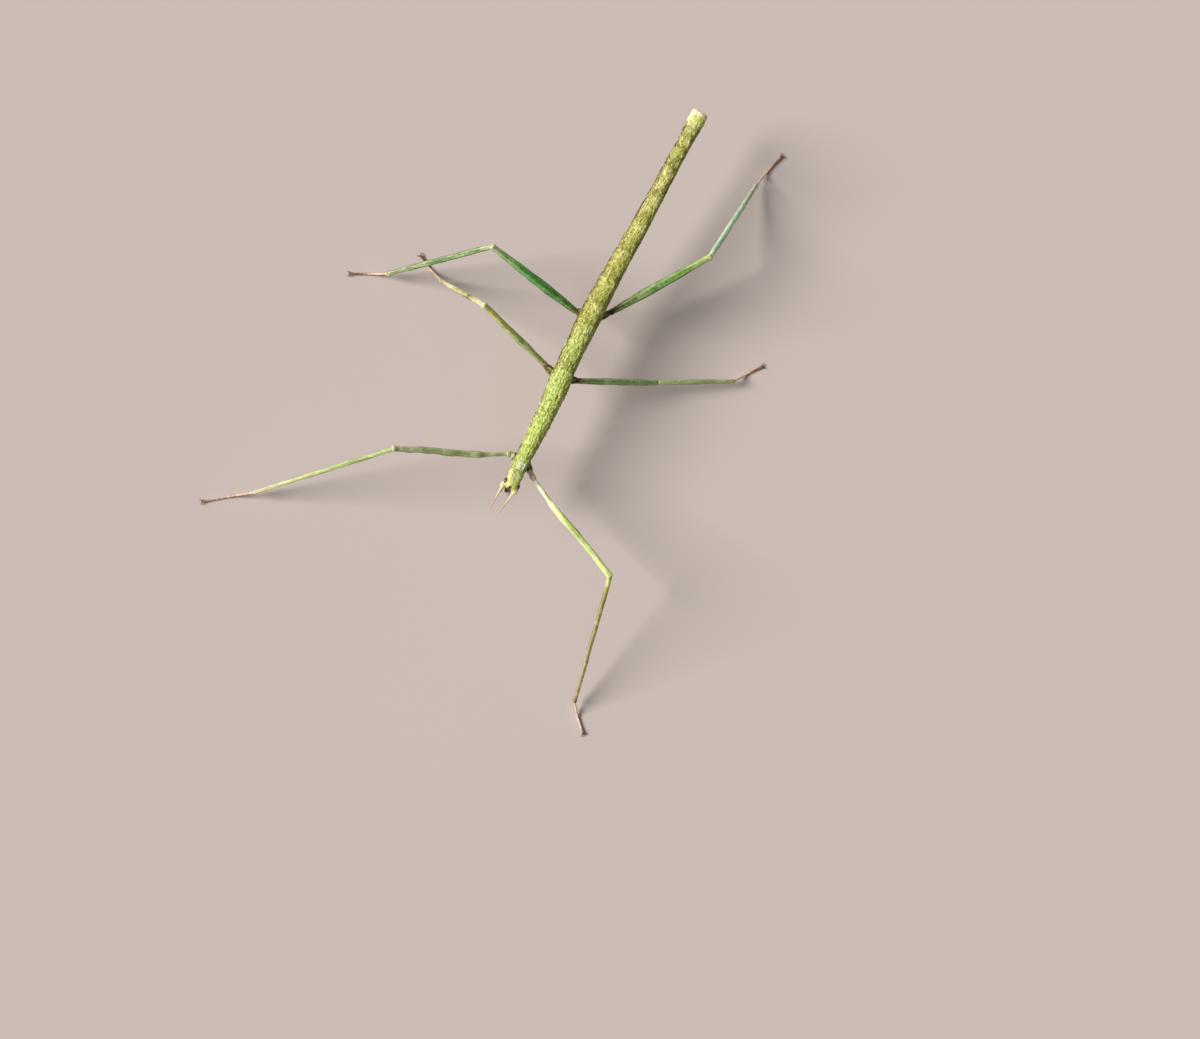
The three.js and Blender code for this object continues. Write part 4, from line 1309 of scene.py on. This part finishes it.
def mouth_rings():
    """Clypeus, lip, jaws and underlip below the front of the head, inside the mouth's solid, the clypeus
    painted dark as shade.
    """
    low, high = box_of("mouthparts")
    x, y, z = (low + high) / 2
    width, _, depth = high - low
    front, back = low[1], high[1]
    parts = []
    for height, reach, half, flatten, shade in (
        # The clypeus is painted fully dark: painted shade under the head's front.
        (high[2] - 0.06, -0.2, 0.27, 0.4, 1.0),
        (z + 0.02, -0.02, 0.24, 0.4, 0.5),
        (low[2] + 0.1, 0.12, 0.25, 0.36, 0.5),
    ):
        corners = [(x, back, height + 0.04), (x, y, height), (x, front + reach, height - 0.05)]
        taper = ((0, half), (0.6, half), (1, half * 0.62))
        rings, share = curved_rings(corners, taper, 40, 0.02, 3, 0.12, 0.1, flatten)
        parts.append((rings, shade + 0.2 * smooth_step(0.7, 1, share)))
    for outward in (-1, 1):
        corners = [
            (x + outward * width * 0.36, back - 0.1, z + depth * 0.1),
            (x + outward * width * 0.33, y - 0.1, z),
            (x + outward * 0.06, front, z - depth * 0.12),
        ]
        taper = ((0, 0.12), (0.6, 0.11), (1, 0.04))
        rings, share = curved_rings(corners, taper, 24, 0.02, 8, 0.06, 0.05, 1.1)
        parts.append((rings, 0.3 + 0.9 * smooth_step(0.75, 1, share)))
    return parts


def palp_rings(side):
    """A jointed feeler of the mouth, inside its solid."""
    root, end = forward_ends(f"palp_{side}", 0.12, 0.12)
    end = end + (0, -0.03, 0)
    middle = (root + end) / 2 + (0, 0, -0.02)
    path, share, length = even_path(np.array([root, middle, end]), 0.014, 8)
    half = value_run(((0, 0.075), (0.5, 0.08), (1, 0.055)), share)
    necks = sum(bell(share, joint, 0.018) for joint in (0.14, 0.3, 0.55, 0.78))
    half = half * (1 - 0.3 * necks) * rounded_ends(share * length, length, 0.05, 0.08)
    return tube_points(path, half * np.ones(PALP_ROUND)), 0.25 + 0.4 * necks + 0.2 * share


def mouth_piece():
    material = plain_cuticle("mouth", (204, 192, 136), (58, 44, 26), 8000.0, 0.45)
    return joined_piece("mouth", mouth_rings() + [palp_rings(side) for side in SIDES], material)


# A claw's bends and the pad's: how far ahead of the wrist, to the side and up, in millimetres.
CLAW_BENDS = ((0, 0.03, 0.02), (0.16, 0.14, 0.06), (0.3, 0.22, 0), (0.36, 0.21, -0.1))
PAD_BENDS = ((-0.04, 0, -0.01), (0.14, 0, -0.03), (0.24, 0, -0.05))
CLAW_HALF = ((0, 0.05), (0.5, 0.038), (1, 0.012))
PAD_HALF = ((0, 0.05), (0.7, 0.075), (1, 0.06))


def claw_rings(pair, side):
    """Two hooked claws and the soft pad between them at the end of a foot."""
    path, _, _, ahead = foot_path(pair, side)
    wrist = path[-1] - ahead * 0.06
    parts = []
    for outward in (-1, 1):
        ways = np.array([ahead, np.cross(UP, ahead) * outward, UP])
        hook = wrist + np.array(CLAW_BENDS) @ ways
        rings, share = curved_rings(hook, CLAW_HALF, 14, 0.016, 6, 0.03, 0.02, 1.25)
        parts.append((rings, 0.2 + 0.8 * share))
    pad = wrist + np.array(PAD_BENDS) @ ways
    rings, _ = curved_rings(pad, PAD_HALF, 18, 0.016, 4, 0.05, 0.07, 0.7)
    rings[..., 2] = np.maximum(rings[..., 2], FLOOR_GAP)
    return parts + [(rings, 0.1)]


def claws_piece():
    material = plain_cuticle("claw", (150, 100, 76), (58, 32, 24), 9000.0, 0.3)
    return joined_piece("claws", [part for pair, side in LEGS for part in claw_rings(pair, side)], material)


# ---------------------------------------------------------------- bristles

# A bristle has seven corners: two triangles and the tip. Its faces by their corners, how dark each
# corner is, and where the corners of its quads and triangles lie in its patch of the unwrap.
BRISTLE_QUADS = np.array([[0, 1, 4, 3], [1, 2, 5, 4], [2, 0, 3, 5]])
BRISTLE_TRIANGLES = np.array([[3, 4, 6], [4, 5, 6], [5, 3, 6], [2, 1, 0]])
BRISTLE_SHADES = (0.0, 0.0, 0.0, 0.3, 0.3, 0.3, 0.8)
BRISTLE_PATCH = 0.003
BRISTLE_PATCHES = ((((0, 0), (1, 0), (1, 1), (0, 1)), 3), (((0, 0), (1, 0), (0.5, 1)), 4))
FOOT_ROWS = (1.2, 2.0, 2.6, 3.7, 4.3, 5.1)


def bristle_plan():
    """A shell's name, its bristles' spacing, chance, rows round it, longest reach and seed."""
    keel_rows = [angle % FULL_TURN for angle in KEEL_ANGLES]
    for pair, side in LEGS:
        yield f"{pair}_{side}_femur", 0.34, 0.6, keel_rows, 0.1, 81
        yield f"{pair}_{side}_tibia", 0.2, 0.75, keel_rows, 0.12, 81
        yield f"{pair}_{side}_tarsus", 0.1, 0.8, FOOT_ROWS, 0.1, 85
    yield "head", 0.2, 0.5, (0.7, 1.3, 5.0, 5.6), 0.09, 89
    yield "trunk", 0.7, 0.4, (1.4, 4.88), 0.09, 89


def bristle_roots(item, spacing, chance, rows, seed):
    """Ring and column numbers of a shell's bristles, none twice: some of those in rows, at the spacing."""
    rings, around = item["points"].shape[:2]
    step = max(1, round(spacing / (item["along"][-1] / rings)))
    picks = []
    for row_number, row in enumerate(rows):
        for ring in range(step, rings - step, step):
            key = np.array([ring, row_number, 0])
            if cell_number(key, seed) <= chance:
                shift = int((cell_number(key, seed + 1) - 0.5) * step)
                column = int(row / FULL_TURN * around + (cell_number(key, seed + 2) - 0.5) * 3)
                picks.append((ring + shift, column % around))
    return dict.fromkeys(picks)


def bristle_cones(item, picks, longest, seed):
    """Thin bent cones on a shell, leaning toward its far end, with their places on its unwrap."""
    points, normals = item["points"], grid_normals(item["points"])
    along = unit(np.gradient(points.mean(axis=1), axis=0))
    cones = []
    for ring, column in picks:
        size = 0.6 + 0.4 * float(cell_number(np.array([ring, column, 1]), seed))
        root, out, lean = points[ring, column], normals[ring, column], along[ring]
        across = unit(np.cross(out, lean))
        spokes = np.array([across, unit(out * 0.87 - across * 0.5), unit(-out * 0.87 - across * 0.5)])
        spokes = spokes * (0.009 + 0.004 * size)
        bend = root + (out * 0.45 + lean * 0.25) * longest * size
        tip = root + (out * 0.7 + lean * 0.75) * longest * size
        cone = np.vstack([root - out * 0.015 + spokes, bend + spokes * 0.65, tip])
        if cone[:, 2].min() > FLOOR_GAP / 2:
            cones.append((cone, on_unwrap(item, ring, item["along"][ring], column / points.shape[1])))
    return cones


def bristles_piece(shells):
    """Short bristles on the legs' keels, the feet, the head and the flanks."""
    by_name = {item["name"]: item for item in shells}
    cones = []
    for name, spacing, chance, rows, longest, seed in bristle_plan():
        picks = bristle_roots(by_name[name], spacing, chance, rows, seed)
        cones += bristle_cones(by_name[name], picks, longest, seed + 2)
    base = np.arange(len(cones))[:, None, None] * len(BRISTLE_SHADES)
    faces = [(BRISTLE_QUADS + base).reshape(-1, 4), (BRISTLE_TRIANGLES + base).reshape(-1, 3)]
    places = np.array([place for _, place in cones])[:, None, None]
    patches = [np.array([corners] * count) * BRISTLE_PATCH for corners, count in BRISTLE_PATCHES]
    spots = np.vstack([(places + patch).reshape(-1, 2) for patch in patches])
    points, shades = np.vstack([cone for cone, _ in cones]), np.tile(BRISTLE_SHADES, len(cones))
    material = plain_cuticle("bristle", (190, 178, 120), (110, 84, 52), 7000.0, 0.5)
    return shaded_piece("bristles", points, faces, spots, shades, material)


# ---------------------------------------------------------------- floor, light and camera

CAMERA_DISTANCE = 0.260
CAMERA_SIDE_TILT = math.radians(15.185)
CAMERA_HEAD_TILT = math.radians(5.333)
CAMERA_ROLL = math.radians(-27.118)
CAMERA_LENS = 85.8
AIM_FROM_HEAD = Vector((0.00883, 0.00141, 0.006))
# The lamp's place from the insect's middle: right and up in the camera's view, and up.
LAMP_PLACE = (-0.32, 0.06, 0.26)
LAMP_WIDTH = math.radians(24)
LAMP_STRENGTH = 4.55
LAMP_COLOUR = (1.0, 0.97, 0.92)
SKY_COLOUR = (0.93, 0.96, 1.0, 1)
SKY_STRENGTH = 0.17
FLOOR_REACH = 1.5


def placed(name, data, place, aim, upward):
    """Adds a camera or lamp at place that points at aim, with upward up in its view."""
    ahead = (aim - place).normalized()
    right = ahead.cross(upward).normalized()
    turn = Matrix((right, right.cross(ahead), -ahead)).transposed()
    thing = add_object(name, data)
    thing.matrix_world = Matrix.Translation(place) @ turn.to_4x4()
    return thing


def camera_directions():
    """Away from the insect toward the camera, and the upward and right directions of its view."""
    away = Vector((-math.tan(CAMERA_SIDE_TILT), -math.tan(CAMERA_HEAD_TILT), 1)).normalized()
    upward = Vector((math.sin(CAMERA_ROLL), math.cos(CAMERA_ROLL), 0))
    return away, upward, upward.cross(away).normalized()


def add_camera():
    low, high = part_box("head")
    aim = Vector(((low.x + high.x) / 2, low.y, 0)) + AIM_FROM_HEAD
    away, upward, _ = camera_directions()
    data = bpy.data.cameras.new("camera")
    data.lens = CAMERA_LENS
    data.clip_start, data.clip_end = 0.01, 10
    bpy.context.scene.camera = placed("camera", data, aim + away * CAMERA_DISTANCE, aim, upward)


def add_lamp():
    """A wide, far, even lamp over the body, set by the camera's own left and right, up and down."""
    _, upward, right = camera_directions()
    low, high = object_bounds()
    aim = (low + high) / 2
    data = bpy.data.lights.new("key", "SUN")
    data.angle, data.energy, data.color = LAMP_WIDTH, LAMP_STRENGTH, LAMP_COLOUR
    sideways, ahead, high_up = LAMP_PLACE
    placed("key", data, aim + right * sideways + upward * ahead + Vector((0, 0, high_up)), aim, upward)


def add_surroundings():
    mesh = bpy.data.meshes.new("floor")
    corners = [(-FLOOR_REACH, -FLOOR_REACH, 0), (FLOOR_REACH, -FLOOR_REACH, 0)]
    corners += [(FLOOR_REACH, FLOOR_REACH, 0), (-FLOOR_REACH, FLOOR_REACH, 0)]
    mesh.from_pydata(corners, [], [(0, 1, 2, 3)])
    mesh.materials.append(floor_material())
    add_object("floor", mesh)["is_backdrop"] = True
    world = bpy.data.worlds.new("world")
    bpy.context.scene.world = world
    world.use_nodes = True
    tree = world.node_tree
    fill(tree, tree.nodes["Background"], {"Color": SKY_COLOUR, "Strength": SKY_STRENGTH})
    add_lamp()
    bpy.context.scene.view_settings.view_transform = "Standard"


# ---------------------------------------------------------------- putting it together

SKIN_NODES = ("head", "cercus_left", "cercus_right") + PLATES + tuple(
    f"{pair}_{side}_{segment}" for pair in PAIRS for side in SIDES for segment in SEGMENTS
)

all_shells = build_shells()
unwrap(all_shells)

skin = build_skin(all_shells)
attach(skin, "root")
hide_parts(*SKIN_NODES)

eyes = eyes_piece()
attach(eyes, "root")
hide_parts("eye_left", "eye_right")

feelers = feelers_piece()
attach(feelers, "root")
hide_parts("antenna_left", "antenna_right")

mouth = mouth_piece()
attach(mouth, "root")
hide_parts("mouthparts", "palp_left", "palp_right")

claws = claws_piece()
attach(claws, "root")

bristles = bristles_piece(all_shells)
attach(bristles, "root")

add_surroundings()
add_camera()
